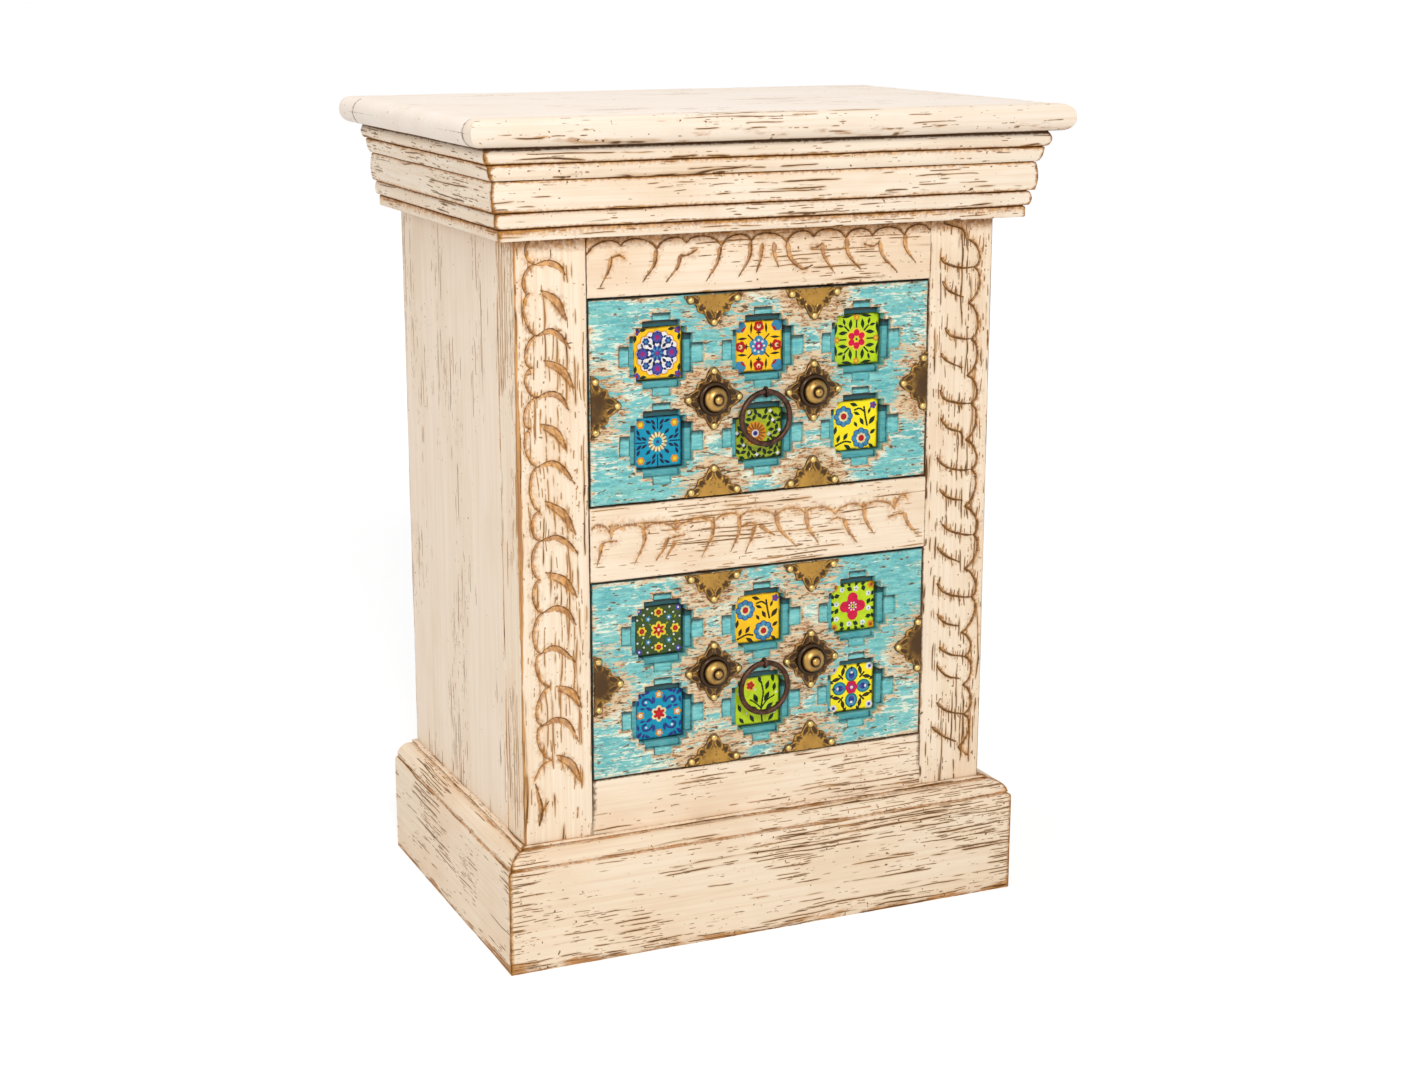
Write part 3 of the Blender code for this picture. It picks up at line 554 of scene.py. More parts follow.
left_cusps = [
    (-179, 545), (-178.5, 525.5), (-183, 505), (-178, 475), (-182, 452), (-178.8, 430.5),
    (-184, 408), (-179, 380), (-178, 347), (-177.5, 325), (-178.5, 296), (-177, 271),
    (-179, 240.5), (-173, 214), (-179, 185), (-172, 157),
]
left_cuts = scallops(left_cusps, -6.5, 0.0, 1.9, 0.7)
crescents = [
    ((-178.5, 525.5), (-168, 527), (-160, 523.5), (-156, 517.5)),
    ((-178, 475), (-168, 478.5), (-160, 474), (-153, 464.5)),
    ((-178.8, 430.5), (-168, 433), (-160, 429.5), (-154.5, 420)),
    ((-179, 380), (-168, 382.5), (-159, 377), (-151, 365.5)),
    ((-177.5, 325), (-166, 327), (-157, 322), (-149, 313)),
    ((-177, 271), (-167, 274), (-158, 270), (-151, 259)),
    ((-179, 240.5), (-170, 244), (-161, 240), (-152.5, 231)),
    ((-179, 185), (-168, 188.5), (-158, 184), (-150.5, 169)),
]
for crescent in crescents:
    left_cuts.append(gouge(*crescent[::-1], steep=1.3, gentle=3.2, shade=0.85, taper_to="both"))
slashes = [
    ((-174, 507), (-155.5, 485)), ((-172.5, 457), (-150.5, 435.5)), ((-176, 411), (-156.5, 390.5)),
    ((-173.5, 354), (-150.5, 327.5)), ((-174, 301), (-150.5, 280.5)), ((-167, 214), (-147.5, 195)),
    ((-168, 160.5), (-149, 137.5)),
]
for (x0, z0), (x1, z1) in slashes:
    bend = ((x0 + x1) / 2 + 2.8, (z0 + z1) / 2 + 3.4)
    left_cuts.append(gouge((x1, z1), bend, (x0, z0), steep=1.8, gentle=4.6, shade=0.75, taper_to="both"))
    beside = ((x0 + 1.0, z0 - 3.4), (bend[0] - 2.0, bend[1] - 3.2), (x1 - 1.0, z1 + 0.6))
    left_cuts.append(groove(*beside, wide=1.0, shade=0.5))
left_tail = ((-172, 157), (-180, 153), (-185.5, 143))
left_cuts.append(groove(*left_tail, shade=0.6))
outer_leaf = ((-182.5, 107), (-180.5, 120), (-185, 140))
left_cuts.append(gouge(*outer_leaf, steep=1.2, gentle=2.4, shade=0.8, taper_to="both"))
inner_leaf = ((-182.5, 107), (-181, 116), (-175, 125))
left_cuts.append(gouge(*inner_leaf, steep=0.8, gentle=1.8, shade=0.7, taper_to="both"))

right_cusps = [
    (173.3, 527), (179, 505.8), (174.5, 478.5), (178, 450), (175, 422), (179, 399.6),
    (175, 371), (180.7, 347.3), (175.5, 318), (184, 294.2), (177, 267), (184, 243.2),
    (175.4, 215), (179, 195), (178, 171), (180.1, 146.1), (175.4, 119.5),
]
right_cuts = scallops(right_cusps, 7.0, 0.0, 1.6, 1.15)
smiles = [
    ((151.2, 541), (168, 534.8), (169.2, 523)),
    ((149.6, 514), (154.5, 509.5), (167, 505.8), (179, 505.8)),
    ((151.2, 496), (157, 488.6), (169.2, 482.9)),
    ((154.5, 460), (159.4, 454.3), (169.2, 451), (179, 450.2)),
    ((151.2, 440.4), (157.8, 433.9), (170, 428.2)),
    ((151.2, 411.8), (156.1, 404.5), (169.2, 400.4), (179, 399.6)),
    ((152.1, 389.8), (159.4, 381.6), (170.8, 376.7), (171.7, 367)),
    ((149.6, 358.7), (157.8, 351.4), (170.8, 347.3), (180.7, 347.3)),
    ((152.9, 333.4), (161, 326.1), (173.3, 322.8)),
    ((155.8, 305.1), (164.5, 298.8), (177, 294.9), (184, 294.2)),
    ((151.9, 287.1), (159.8, 279.3), (172.3, 273)),
    ((152.7, 257.3), (159.8, 249.5), (172.3, 244.8), (184, 243.2)),
    ((153.5, 232.3), (161.3, 224.4), (173.1, 220.5)),
    ((155.8, 204.9), (164.5, 198.6), (178.6, 194.7)),
    ((154.3, 190), (162.9, 180.6), (174.6, 176.7)),
    ((155, 158.6), (164.5, 150.8), (180.1, 146.1)),
    ((151.1, 139.1), (161.3, 130.4), (173.1, 124.2)),
]
for smile in smiles:
    right_cuts.append(gouge(*smile, steep=1.0, gentle=1.2, shade=1.15))
right_tail = ((175.4, 119.5), (184, 111.5))
right_cuts.append(groove(*right_tail, wide=1.8, shade=0.9))


def left_corner_wear(x, setback, z):
    """The rubbed strip down the outer arris of the left post, widest at the height of the drawer rail."""
    from_corner = x + POST_OUTER + 0.5 * setback
    near_middle = np.clip(1 - np.abs(z - LEFT_WEAR_MIDDLE) / LEFT_WEAR_REACH, 0, 1)
    strip = 1.9 + 3.3 * near_middle ** 0.5
    return 1.35 * np.clip(1.25 - from_corner / strip, 0, 1)


def right_corner_wear(x, setback, z):
    """The narrow rubbed strip down the outer arris of the right post."""
    return 1.1 * np.clip(1.2 - (POST_OUTER - x + 0.5 * setback) / 2.2, 0, 1)


behind_plinth = np.arange(0, 92, PLAIN_STEP)
behind_cornice = np.concatenate([np.arange(BEHIND_CORNICE_FROM, 600, PLAIN_STEP), [FRAME_TOP]])
carved_stations = np.arange(PLINTH_TOP, CARVING_TOP, CARVED_STEP)
post_stations = np.concatenate([behind_plinth, carved_stations, behind_cornice])
post_lines = np.arange(POST_INNER, POST_OUTER + 0.1, CARVED_STEP)
post_lines[-1] = POST_OUTER
carved_piece(
    "post_front_left", True, post_stations, -post_lines[::-1], left_cuts, left_cream, 0.9, left_corner_wear
)
carved_piece(
    "post_front_right", True, post_stations, post_lines, right_cuts, right_cream, 1.0, right_corner_wear
)

top_cusps = [
    (-139, 531), (-113, 536), (-85, 532), (-62, 535.5), (-34, 532), (-10, 535),
    (18.4, 532.4), (40.6, 535.5), (67.7, 533.4), (90, 534), (117, 533.4), (139, 536),
]
top_cuts = scallops(top_cusps, 0.0, 6.5, 1.7, 0.9)
long_strokes = [
    ((-85, 532), (-87, 521), (-96, 509)), ((-34, 532), (-37, 520), (-46, 507)),
    ((-10, 535), (-11.5, 522), (-20, 509)), ((18.4, 533), (21, 521), (31, 512), (40, 514)),
    ((67.7, 533.4), (69.5, 521), (80, 509)), ((117, 533.4), (118.5, 523), (127, 512)),
]
short_strokes = [
    ((-120, 528), (-122, 519), (-129, 507)), ((-66, 527), (-69, 518), (-78, 508)),
    ((-1, 532), (-2, 522), (-6, 511)), ((7.7, 532), (8.6, 523), (12, 514)),
    ((47.4, 530), (49.5, 520), (58.5, 507)), ((95.7, 529), (99, 518), (111, 506)),
]
hooks = [
    ((-120, 527.5), (-114, 529), (-110, 526.5)), ((-66, 526), (-60, 527), (-54, 530)),
    ((47.4, 529), (43, 527), (38.7, 527)), ((95.7, 528), (90, 526), (83, 528)),
]


def lean_out(strokes, gentle, shade):
    """Gouge strokes with the steep wall on the right of those that lean left, and the other way round."""
    cuts = []
    for stroke in strokes:
        if stroke[-1][0] < stroke[0][0]:
            cuts.append((stroke[::-1], 1.0, gentle, GOUGE_DEPTH, "head", shade))
        else:
            cuts.append((stroke, 1.0, gentle, GOUGE_DEPTH, "tail", shade))
    return cuts


top_cuts += lean_out(long_strokes, 2.6, 0.8) + lean_out(short_strokes, 2.4, 0.7)
top_cuts += [groove(*hook, wide=1.2, shade=0.7) for hook in hooks]

middle_cusps = [
    (-138, 329), (-123, 324), (-96, 325), (-71.5, 323), (-40, 325), (-18.5, 327),
    (10.6, 325), (36, 325), (62, 322), (85.5, 325), (113, 322), (124, 329),
]
middle_cuts = scallops(middle_cusps, 0.0, 5.5, 1.3, 0.45)
middle_cuts += lean_out([((x, 330), (x, 327), (x, 321)) for x in (-123, -71.5, 113)], 4.0, 0.5)
long_strokes = [
    ((-96, 329), (-96, 316), (-104, 300)), ((-40, 329), (-41, 316), (-50, 300)),
    ((-18.5, 329), (-19, 316), (-26, 302)), ((10.6, 329), (14, 315), (29, 300)),
    ((36, 329), (38, 315), (47, 301)), ((85.5, 329), (87, 316), (95.5, 303)),
]
short_strokes = [
    ((-129.5, 318), (-131, 311), (-134, 302)), ((-77, 317), (-80, 310), (-87, 301)),
    ((-70.6, 314), (-74, 309), (-79, 302)), ((-6, 319), (-8.5, 311), (-14, 300)),
    ((-2, 319), (3, 315), (10, 311)), ((68.6, 318), (72, 309), (80.5, 298)),
    ((121, 318), (125, 309), (134, 299)),
]
hooks = [
    ((-130, 318), (-124, 319), (-118, 319)), ((-77, 316.5), (-70, 318), (-63, 318.5)),
    ((68.6, 318), (63, 319), (58, 318)), ((121, 317.5), (114, 317), (108, 316)),
    ((-17, 320), (-10, 322.5), (-4, 320)), ((-138, 330.5), (-100, 330.8), (-82, 330)),
]
middle_cuts += lean_out(long_strokes, 3.0, 0.55) + lean_out(short_strokes, 2.6, 0.55)
middle_cuts += [groove(*hook, wide=1.1, shade=0.5) for hook in hooks]

rail_stations = np.concatenate([np.arange(-RAIL_END, RAIL_END, CARVED_STEP), [RAIL_END]])
top_lines = np.concatenate([np.arange(TOP_RAIL_FOOT, CARVING_TOP, CARVED_STEP), behind_cornice])
carved_piece("rail_top", False, rail_stations, top_lines, top_cuts, rail_cream, 0.5)
middle_lines = np.concatenate([np.arange(MIDDLE_RAIL_FOOT, 344.6, CARVED_STEP), [MIDDLE_RAIL_HEAD]])
carved_piece("rail_middle", False, rail_stations, middle_lines, middle_cuts, rail_cream, 0.7)
bottom_lines = [np.arange(BOTTOM_RAIL_FOOT, PLINTH_TOP, 8.0), np.arange(94, 134.6, 2.0), [BOTTOM_RAIL_HEAD]]
plain_stations = np.linspace(-RAIL_END, RAIL_END, 60)
carved_piece("rail_bottom", False, plain_stations, np.concatenate(bottom_lines), [], rail_cream, 0.0)

# Plinth and cornice: hardwood run through moulding cutters, mitred at the front corners, glued and
# pinned round the case. The quirks between the members are painted dark, and the beads are rubbed bare.
BODY_HALF = 194.0
BODY_FRONT = 121.5
BODY_REAR = 150.5
MITRE_GAP = 0.12
QUIRK_DEPTH = 1.3
QUIRK_HALF = 0.6
# The cornice's cream is a lighter copy of the frame's, painted light against the shade on its
# downward-facing members.
CORNICE_LIGHTENED_CREAM = ((0.935, 0.81, 0.655, 1), (0.82, 0.615, 0.425, 1))
PLINTH_CREAM = ((0.89, 0.745, 0.57, 1), (0.79, 0.575, 0.385, 1))


def bead(projection, swell, low, high, steps=9):
    """A flat half round between two heights."""
    share = np.linspace(0, 1, steps)
    return [(projection - swell + swell * math.sin(math.pi * s), low + (high - low) * s) for s in share]


def quarter_round(inner, outer, foot, head, steps=9):
    """A quarter round from its inner edge, at the foot, out to its outer edge, at the head."""
    turn = np.linspace(0, math.pi / 2, steps)
    return [(inner + (outer - inner) * math.sin(a), foot + (head - foot) * (1 - math.cos(a))) for a in turn]


def profile_of(members, rubbed, quirk_dark):
    """A moulding's outline from its members, with an open quirk between neighbours, and its marks."""
    outline, worn, dark, rust = [], [], [], []
    for k, (member, rub) in enumerate(zip(members, rubbed)):
        if k:
            outline[-1] = (outline[-1][0], outline[-1][1] - QUIRK_HALF)
            deep = min(outline[-1][0], member[0][0]) - QUIRK_DEPTH
            outline += [(deep, member[0][1] - 0.15), (deep, member[0][1] + 0.15)]
            member = [(member[0][0], member[0][1] + QUIRK_HALF)] + member[1:]
            worn += [0.6, 0.6]
            dark += [quirk_dark, quirk_dark]
            rust += [0.9, 0.9]
        for j, spot in enumerate(member):
            from_end = min(j, len(member) - 1 - j)
            outline.append(spot)
            worn.append(max(rub, (0.85, 0.55)[from_end]) if from_end < 2 else rub)
            dark.append(0.36 * quirk_dark if from_end == 0 else 0.0)
            rust.append((0.55, 0.24)[from_end] if from_end < 2 else 0.0)
    return np.array(outline), np.array(worn), np.array(dark), np.array(rust)


def run_moulding(node, side, profile, finish, scuffed, seed):
    """One length of moulding: side 0 is the front, -1 the left and 1 the right."""
    outline, worn, dark, rust = profile
    reach, height = outline[:, 0], outline[:, 1]
    if side == 0:
        share = np.linspace(-1, 1, 121)[:, None]
        x = share * (BODY_HALF + reach - MITRE_GAP)
        y = -(BODY_FRONT + reach) + 0 * x
    else:
        share = np.linspace(0, 1, 81)[:, None]
        y = BODY_REAR + share * (-(BODY_FRONT + reach - MITRE_GAP) - BODY_REAR)
        x = side * (BODY_HALF + reach) + 0 * y
    loops = wander(np.stack([x, y, height + 0 * x], axis=-1), 40.0, 0.3, seed)
    near_mitre = np.clip((np.abs(share) - 0.84) / 0.10, 0, 1)
    at_mitre = np.clip((np.abs(share) - 0.984) / 0.016, 0, 1)
    worn = np.maximum(worn + 0.2 * near_mitre, at_mitre * 1.05) + 0 * x
    dark = np.maximum(dark + 0 * x, 0.5 * (np.abs(share) > 0.998))
    rust = np.maximum(rust + 0 * x, 0.6 * at_mitre)
    marks = {"worn": worn, "grime_and_shade": dark, "cut": rust, "scuff": scuffed * near_mitre + 0 * x}
    piece = close_loops(node + "_moulded", loops, marks, crease=50)
    piece.data.materials.append(finish)
    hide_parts(node)
    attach(piece, "carcass")


cornice_members = [
    [(0.3, 544.5), (16.9, 544.5), (17.5, 545.2), (17.5, 549.0), (17.5, 552.6)],
    bead(21.0, 1.8, 553.0, 564.5),
    bead(24.0, 1.6, 564.5, 586.5, 13),
    quarter_round(22.5, 27.0, 586.5, 598.0),
    bead(31.0, 2.7, 598.0, 609.7) + [(0.3, 609.7)],
]
outline, worn, dark, rust = profile_of(cornice_members, (0.15, 0.28, 0.08, 0.28, 0.42), 0.95)
# The uppermost bead is dark where the top shades it.
dark[-5:] = (0.0, 0.12, 0.7, 1.0, 1.0)
cornice = outline, worn, dark, rust

plinth_members = [
    [
        (0.3, 0.0), (19.2, 0.0), (20.0, 0.8), (20.0, 8.0), (20.0, 27.0), (20.0, 46.0), (20.0, 65.0),
        (20.0, 78.6), (19.4, 80.2), (18.4, 81.0),
    ],
    quarter_round(6.0, 18.0, 91.6, 81.4)[::-1],
    [(4.6, 91.8), (4.6, 93.1), (4.2, 93.5), (0.3, 93.5)],
]
outline, worn, dark, rust = profile_of(plinth_members, (0.0, 0.08, 0.35), 0.22)
rust *= 0.42
# The arrises at the board's foot and head are rubbed most.
worn[1:4] = (0.8, 1.0, 0.62)
worn[7:9] = (0.40, 0.5)
plinth = outline, worn, dark, rust

cornice_cream = {
    "X": cream_paint("cream paint on the cornice along x", "X", CORNICE_LIGHTENED_CREAM, 0.03, 0.35),
    "Y": cream_paint("cream paint on the cornice along y", "Y", CORNICE_LIGHTENED_CREAM, 0.03, 0.35),
}
plinth_cream = {
    "X": cream_paint("cream paint on the plinth along x", "X", PLINTH_CREAM, 0.046, 0.35),
    "Y": cream_paint("cream paint on the plinth along y", "Y", PLINTH_CREAM, 0.024, 0.35),
}
for name, side in (("front", 0), ("left", -1), ("right", 1)):
    grain = "X" if side == 0 else "Y"
    scuffed = 0.85 if side == 0 else 0.5
    run_moulding("cornice_" + name, side, cornice, cornice_cream[grain], 0.4, 4.0 + side)
    run_moulding("plinth_" + name, side, plinth, plinth_cream[grain], scuffed, 8.0 + side)

# Top: a wide panel between a front edging and a back strip, three boards glued edge to edge. The front
# edge and the ends are rounded over, and years of hands have taken the paint off that rounding.
BULLNOSE = 9.2
TOP_ARRIS = 0.8
TOP_CREAM = ((0.945, 0.84, 0.745, 1), (0.885, 0.75, 0.62, 1))
EDGING_CREAM = ((0.905, 0.775, 0.64, 1), (0.82, 0.645, 0.475, 1))
top_cream = cream_paint("cream paint on the top", "X", TOP_CREAM, -0.042)
edging_cream = cream_paint("cream paint on the edging", "X", EDGING_CREAM, 0.0, 0.4)


def top_board(node, seed, round_front=False):
    """One board of the top, rounded over at both ends and, for the edging, along the front."""
    low, high = corners(node)
    half = (high[2] - low[2]) / 2
    rise = np.sin(np.linspace(-math.pi / 2, math.pi / 2, 15))
    turn = np.linspace(math.pi / 2, 0, 7)
    ends = [(BULLNOSE * (1 - math.sin(a)), BULLNOSE * (1 - math.cos(a)), 0.15) for a in turn]
    ends.append((15.0, 0.0, 0.0))
    run = np.arange(24, high[0] - low[0] - 20, 10.0)
    stations = [(low[0] + u, inset, mark) for u, inset, mark in ends]
    stations += [(low[0] + u, 0.0, 0.0) for u in run]
    stations += [(high[0] - u, inset, mark) for u, inset, mark in ends[::-1]]
    first_row = low[1] + (11.0 if round_front else 5.0)
    rows = np.linspace(first_row, high[1] - 5.0, max(3, int((high[1] - low[1]) / 14)))
    edge = BULLNOSE if round_front else TOP_ARRIS
    loops, worn = [], []
    for x, inset, mark in stations:
        tall = half - inset
        lift = np.clip(np.abs(rise * tall) - (half - edge), 0, edge)
        setback = edge - np.sqrt(edge ** 2 - lift ** 2)
        spots = []
        for s, z in zip(setback, rise * tall):
            front_rub = 0.72 if z < 0 else 0.5
            spots.append((low[1] + s, z, front_rub if round_front else 0.3))
        spots += [(y, tall, 0.0) for y in rows]
        spots += [(high[1] - TOP_ARRIS, tall, 0.5), (high[1], tall - 0.7, 0.3)]
        spots += [(high[1], 0.7 - tall, 0.3), (high[1] - TOP_ARRIS, -tall, 0.3)]
        spots += [(y, -tall, 0.0) for y in rows[::-1]]
        loops.append([(x, y, low[2] + half + z) for y, z, _ in spots])
        worn += [max(mark, rub) for _, _, rub in spots]
    loops = np.array(loops)
    # Painted shade: the lowest part of each board's edges is darkened, as the shade under the top.
    underside_shade = np.clip((low[2] + 0.9 - loops[..., 2]) / 0.7, 0, 1)
    to_front = 99.0 if round_front else loops[..., 1] - low[1]
    to_joint = np.minimum(high[1] - loops[..., 1], to_front)
    dark = np.maximum(underside_shade, 0.5 * (to_joint < 0.75) * (loops[..., 1] < 150))
    marks = {"worn": np.array(worn), "grime_and_shade": dark}
    piece = close_loops(node + "_planed", wander(loops, 55.0, 0.3, seed), marks)
    piece.data.materials.append(edging_cream if round_front else top_cream)
    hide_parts(node)
    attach(piece, "carcass")


top_board("top_front_edging", 11.0, True)
top_board("top_panel", 12.0)
top_board("top_back_strip", 13.0)

# Drawer fronts: thick hardwood with six stepped crosses cut into each, down to the tile pockets. Turquoise
# paint over a pale ground is rubbed in short strokes down to the ground and the wood, on the face alone.
FRONT_HALF = 138.5
FRONT_HALF_HEIGHT = 75.5
FRONT_FACE = -121.5
FRONT_REAR = -101.5
FRONT_THICKNESS = 20.0
FRONT_ARRIS = 1.5
EDGE_ROW = 9.0
TILE_X = (-82.0, 0.0, 82.0)
TILE_Z = (33.0, -33.0)
POCKET = (20.0, 20.0, 14.0)
INNER_STEP = (25.0, 25.0, 15.0, 5.6)
OUTER_STEP = (33.5, 30.5, 7.5, 2.8)
SHADE_FALL = 5.6
PLATE_X = 41.0
PLATE_DROP = -2.0
PLATE_RUB_REACH = 40.0
PLATE_RUB_FADE = 14.0
DRAWER_LEVELS = {"upper": 422.0, "lower": 212.0}
TURQUOISE = ((0.095, 0.39, 0.405, 1), (0.245, 0.60, 0.565, 1))
SEA_GREEN = (0.20, 0.50, 0.42, 1)
PALE_GRIT = (0.50, 0.78, 0.74, 1)
GROUND_COAT = ((0.84, 0.85, 0.68, 1), (0.78, 0.54, 0.31, 1))
BARED_WOOD = ((0.22, 0.080, 0.020, 1), (0.64, 0.33, 0.15, 1))
NICK_TAN = (0.50, 0.29, 0.12, 1)
NICK_DARK = (0.06, 0.030, 0.006, 1)
# Recess colours: a lighter turquoise is painted light on the step floors, and the darker ones are painted
# shade of the inner steps, the pockets and the gaps.
RECESS_PAINTED_LIGHT = ((0.10, 0.47, 0.50, 1), (0.24, 0.64, 0.64, 1))
RECESS_PAINTED_SHADE = (0.016, 0.22, 0.26, 1)
POCKET_PAINTED_SHADE = (0.006, 0.05, 0.06, 1)
SHADE_AND_DIRT_DARK = (0.026, 0.022, 0.012, 1)


def turquoise_paint(name):
    """Turquoise over a pale ground over wood, rubbed through in short strokes along the grain, with light
    and shade painted into the recesses and gaps.
    """
    finish, tree, shader = new_finish(name, Specular_IOR_Level=0.3)
    worn, cut, grime_and_shade = mark_of(tree, "worn"), mark_of(tree, "cut"), mark_of(tree, "grime_and_shade")
    fine = mottle(tree, (75, 300, 640), 3, 0.6, 2.0, 0.25)
    strokes = mottle(tree, (24, 140, 300), 4, 0.6, 5.0, 0.3)
    clouds = mottle(tree, (13, 15, 19), 3, 0.55, 8.0)
    grit = mottle(tree, (420, 520, 620), 3, 0.65, 13.0)
    hue = fade(tree, mottle(tree, (80, 240, 380), 4, 0.65, 11.0), 0.34, 0.66)
    colour = coat(tree, hue, *TURQUOISE)
    greener = fade(tree, mottle(tree, (26, 60, 90), 3, 0.6, 21.0), 0.50, 0.70)
    colour = coat(tree, figure(tree, "MULTIPLY", greener, 0.45), colour, SEA_GREEN)
    colour = coat(tree, figure(tree, "MULTIPLY", fade(tree, grit, 0.56, 0.68), 0.45), colour, PALE_GRIT)

    guard = figure(tree, "MULTIPLY", fade(tree, cut, 0.2, 0.9), 0.14)
    flecks = mottle(tree, (230, 430, 520), 3, 0.62, 41.0, 0.6)
    rubbed = figure(tree, "MULTIPLY", fine, 0.26)
    rubbed = figure(tree, "ADD", rubbed, figure(tree, "MULTIPLY", strokes, 0.26))
    rubbed = figure(tree, "ADD", rubbed, figure(tree, "MULTIPLY", clouds, 0.26))
    rubbed = figure(tree, "ADD", rubbed, figure(tree, "MULTIPLY", flecks, 0.22))
    handled = figure(tree, "SUBTRACT", figure(tree, "MULTIPLY", worn, 0.060), guard)
    rubbed = figure(tree, "ADD", rubbed, handled)
    thin = fade(tree, rubbed, 0.518, 0.568)
    tanned = figure(tree, "MULTIPLY", mottle(tree, (60, 120, 190), 4, 0.62, 31.0), 0.75)
    tanned = figure(tree, "ADD", tanned, figure(tree, "MULTIPLY", worn, 0.19))
    ground = coat(tree, fade(tree, tanned, 0.40, 0.60), *GROUND_COAT)
    colour = coat(tree, figure(tree, "MULTIPLY", thin, 0.90), colour, ground)
    other = mottle(tree, (120, 330, 480), 4, 0.68, 17.0, 0.3)
    bared = figure(tree, "MULTIPLY", other, 0.56)
    bared = figure(tree, "ADD", bared, figure(tree, "MULTIPLY", rubbed, 0.46))
    bared = figure(tree, "ADD", bared, figure(tree, "MULTIPLY", worn, 0.042))
    bare = fade(tree, bared, 0.600, 0.640)
    wood = coat(tree, fade(tree, grit, 0.42, 0.60), *BARED_WOOD)
    colour = coat(tree, figure(tree, "MULTIPLY", bare, 0.88), colour, wood)
    nicked = mottle(tree, (150, 430, 560), 2, 0.5, 14.0)
    nicked = figure(tree, "ADD", nicked, figure(tree, "MULTIPLY", worn, 0.025))
    colour = coat(tree, figure(tree, "MULTIPLY", fade(tree, nicked, 0.62, 0.68), 0.6), colour, NICK_TAN)
    colour = coat(tree, figure(tree, "MULTIPLY", fade(tree, nicked, 0.655, 0.69), 0.85), colour, NICK_DARK)

    # Painted light and shade: the step floors take a lighter turquoise, the inner steps and the tile
    # pockets darken with depth, and the walls and gaps take painted shade.
    painted_recess_light = figure(tree, "MULTIPLY", fade(tree, cut, 0.2, 0.5), 0.45)
    colour = coat(tree, painted_recess_light, colour, coat(tree, hue, *RECESS_PAINTED_LIGHT))
    colour = coat(tree, figure(tree, "MULTIPLY", fade(tree, cut, 0.55, 1.05), 0.50), colour, RECESS_PAINTED_SHADE)
    colour = coat(tree, figure(tree, "MULTIPLY", fade(tree, cut, 1.1, 1.35), 0.9), colour, POCKET_PAINTED_SHADE)
    ragged = figure(tree, "SUBTRACT", mottle(tree, (260, 260, 260), 3, 0.6, 8.1), 0.5)
    shade_and_dirt = figure(tree, "ADD", grime_and_shade, figure(tree, "MULTIPLY", ragged, fade(tree, grime_and_shade, 0.05, 0.2)))
    colour = coat(tree, figure(tree, "MULTIPLY", fade(tree, shade_and_dirt, 0.1, 0.8), 0.85), colour, SHADE_AND_DIRT_DARK)
    tree.links.new(colour, shader.inputs["Base Color"])
    rough = figure(tree, "ADD", figure(tree, "MULTIPLY", thin, 0.12), 0.46)
    tree.links.new(rough, shader.inputs["Roughness"])
    height = figure(tree, "MULTIPLY", strokes, 0.5)
    height = figure(tree, "SUBTRACT", height, figure(tree, "ADD", thin, bare))
    relief(tree, shader, height, 0.22, 0.0004)
    return finish


turquoise = turquoise_paint("worn turquoise paint")


def inside_box(x, z, middle_x, middle_z, half_x, half_z):
    """How far inside a rectangle each point is; negative outside."""
    return np.minimum(half_x - np.abs(x - middle_x), half_z - np.abs(z - middle_z))


def inside_cross(x, z, middle_x, middle_z, half_x, half_z, half_arm):
    """How far inside an upright cross each point is; negative outside."""
    upright = inside_box(x, z, middle_x, middle_z, half_arm, half_z)
    return np.maximum(upright, inside_box(x, z, middle_x, middle_z, half_x, half_arm))


def cut_lines(limits, half, step=3.0):
    """Mesh lines on both sides of every wall of the recesses, with plain lines between them."""
    lines = [-half, half]
    for limit in limits:
        lines += [limit + offset for offset in (-2.0, -1.1, -0.25, 0.25, 1.1, 2.0)]
    lines = sorted(v for v in lines if -half <= v <= half)
    for start, end in zip(lines[:-1], lines[1:]):
        parts = int((end - start) / step)
        lines = lines + list(np.linspace(start, end, parts + 2)[1:-1])
    return np.unique(np.round(lines, 3))


def recesses_at(x, z):
    """For every step of every recess, how far inside it each point is, with the depth of the step."""
    recesses = []
    for tile_x in TILE_X:
        for tile_z in TILE_Z:
            recesses.append((inside_box(x, z, tile_x, tile_z, POCKET[0], POCKET[1]), POCKET[2]))
            recesses.append((inside_cross(x, z, tile_x, tile_z, *INNER_STEP[:3]), INNER_STEP[3]))
            recesses.append((inside_cross(x, z, tile_x, tile_z, *OUTER_STEP[:3]), OUTER_STEP[3]))
    return recesses


def depth_at(x, z):
    """Depth of the recesses below the face of a drawer front."""
    depth = np.zeros(x.shape)
    for within, deep in recesses_at(x, z):
        depth = np.maximum(depth, np.interp(within, [-1.1, -0.25, 0.25], [0.0, 0.3, deep]))
    return depth


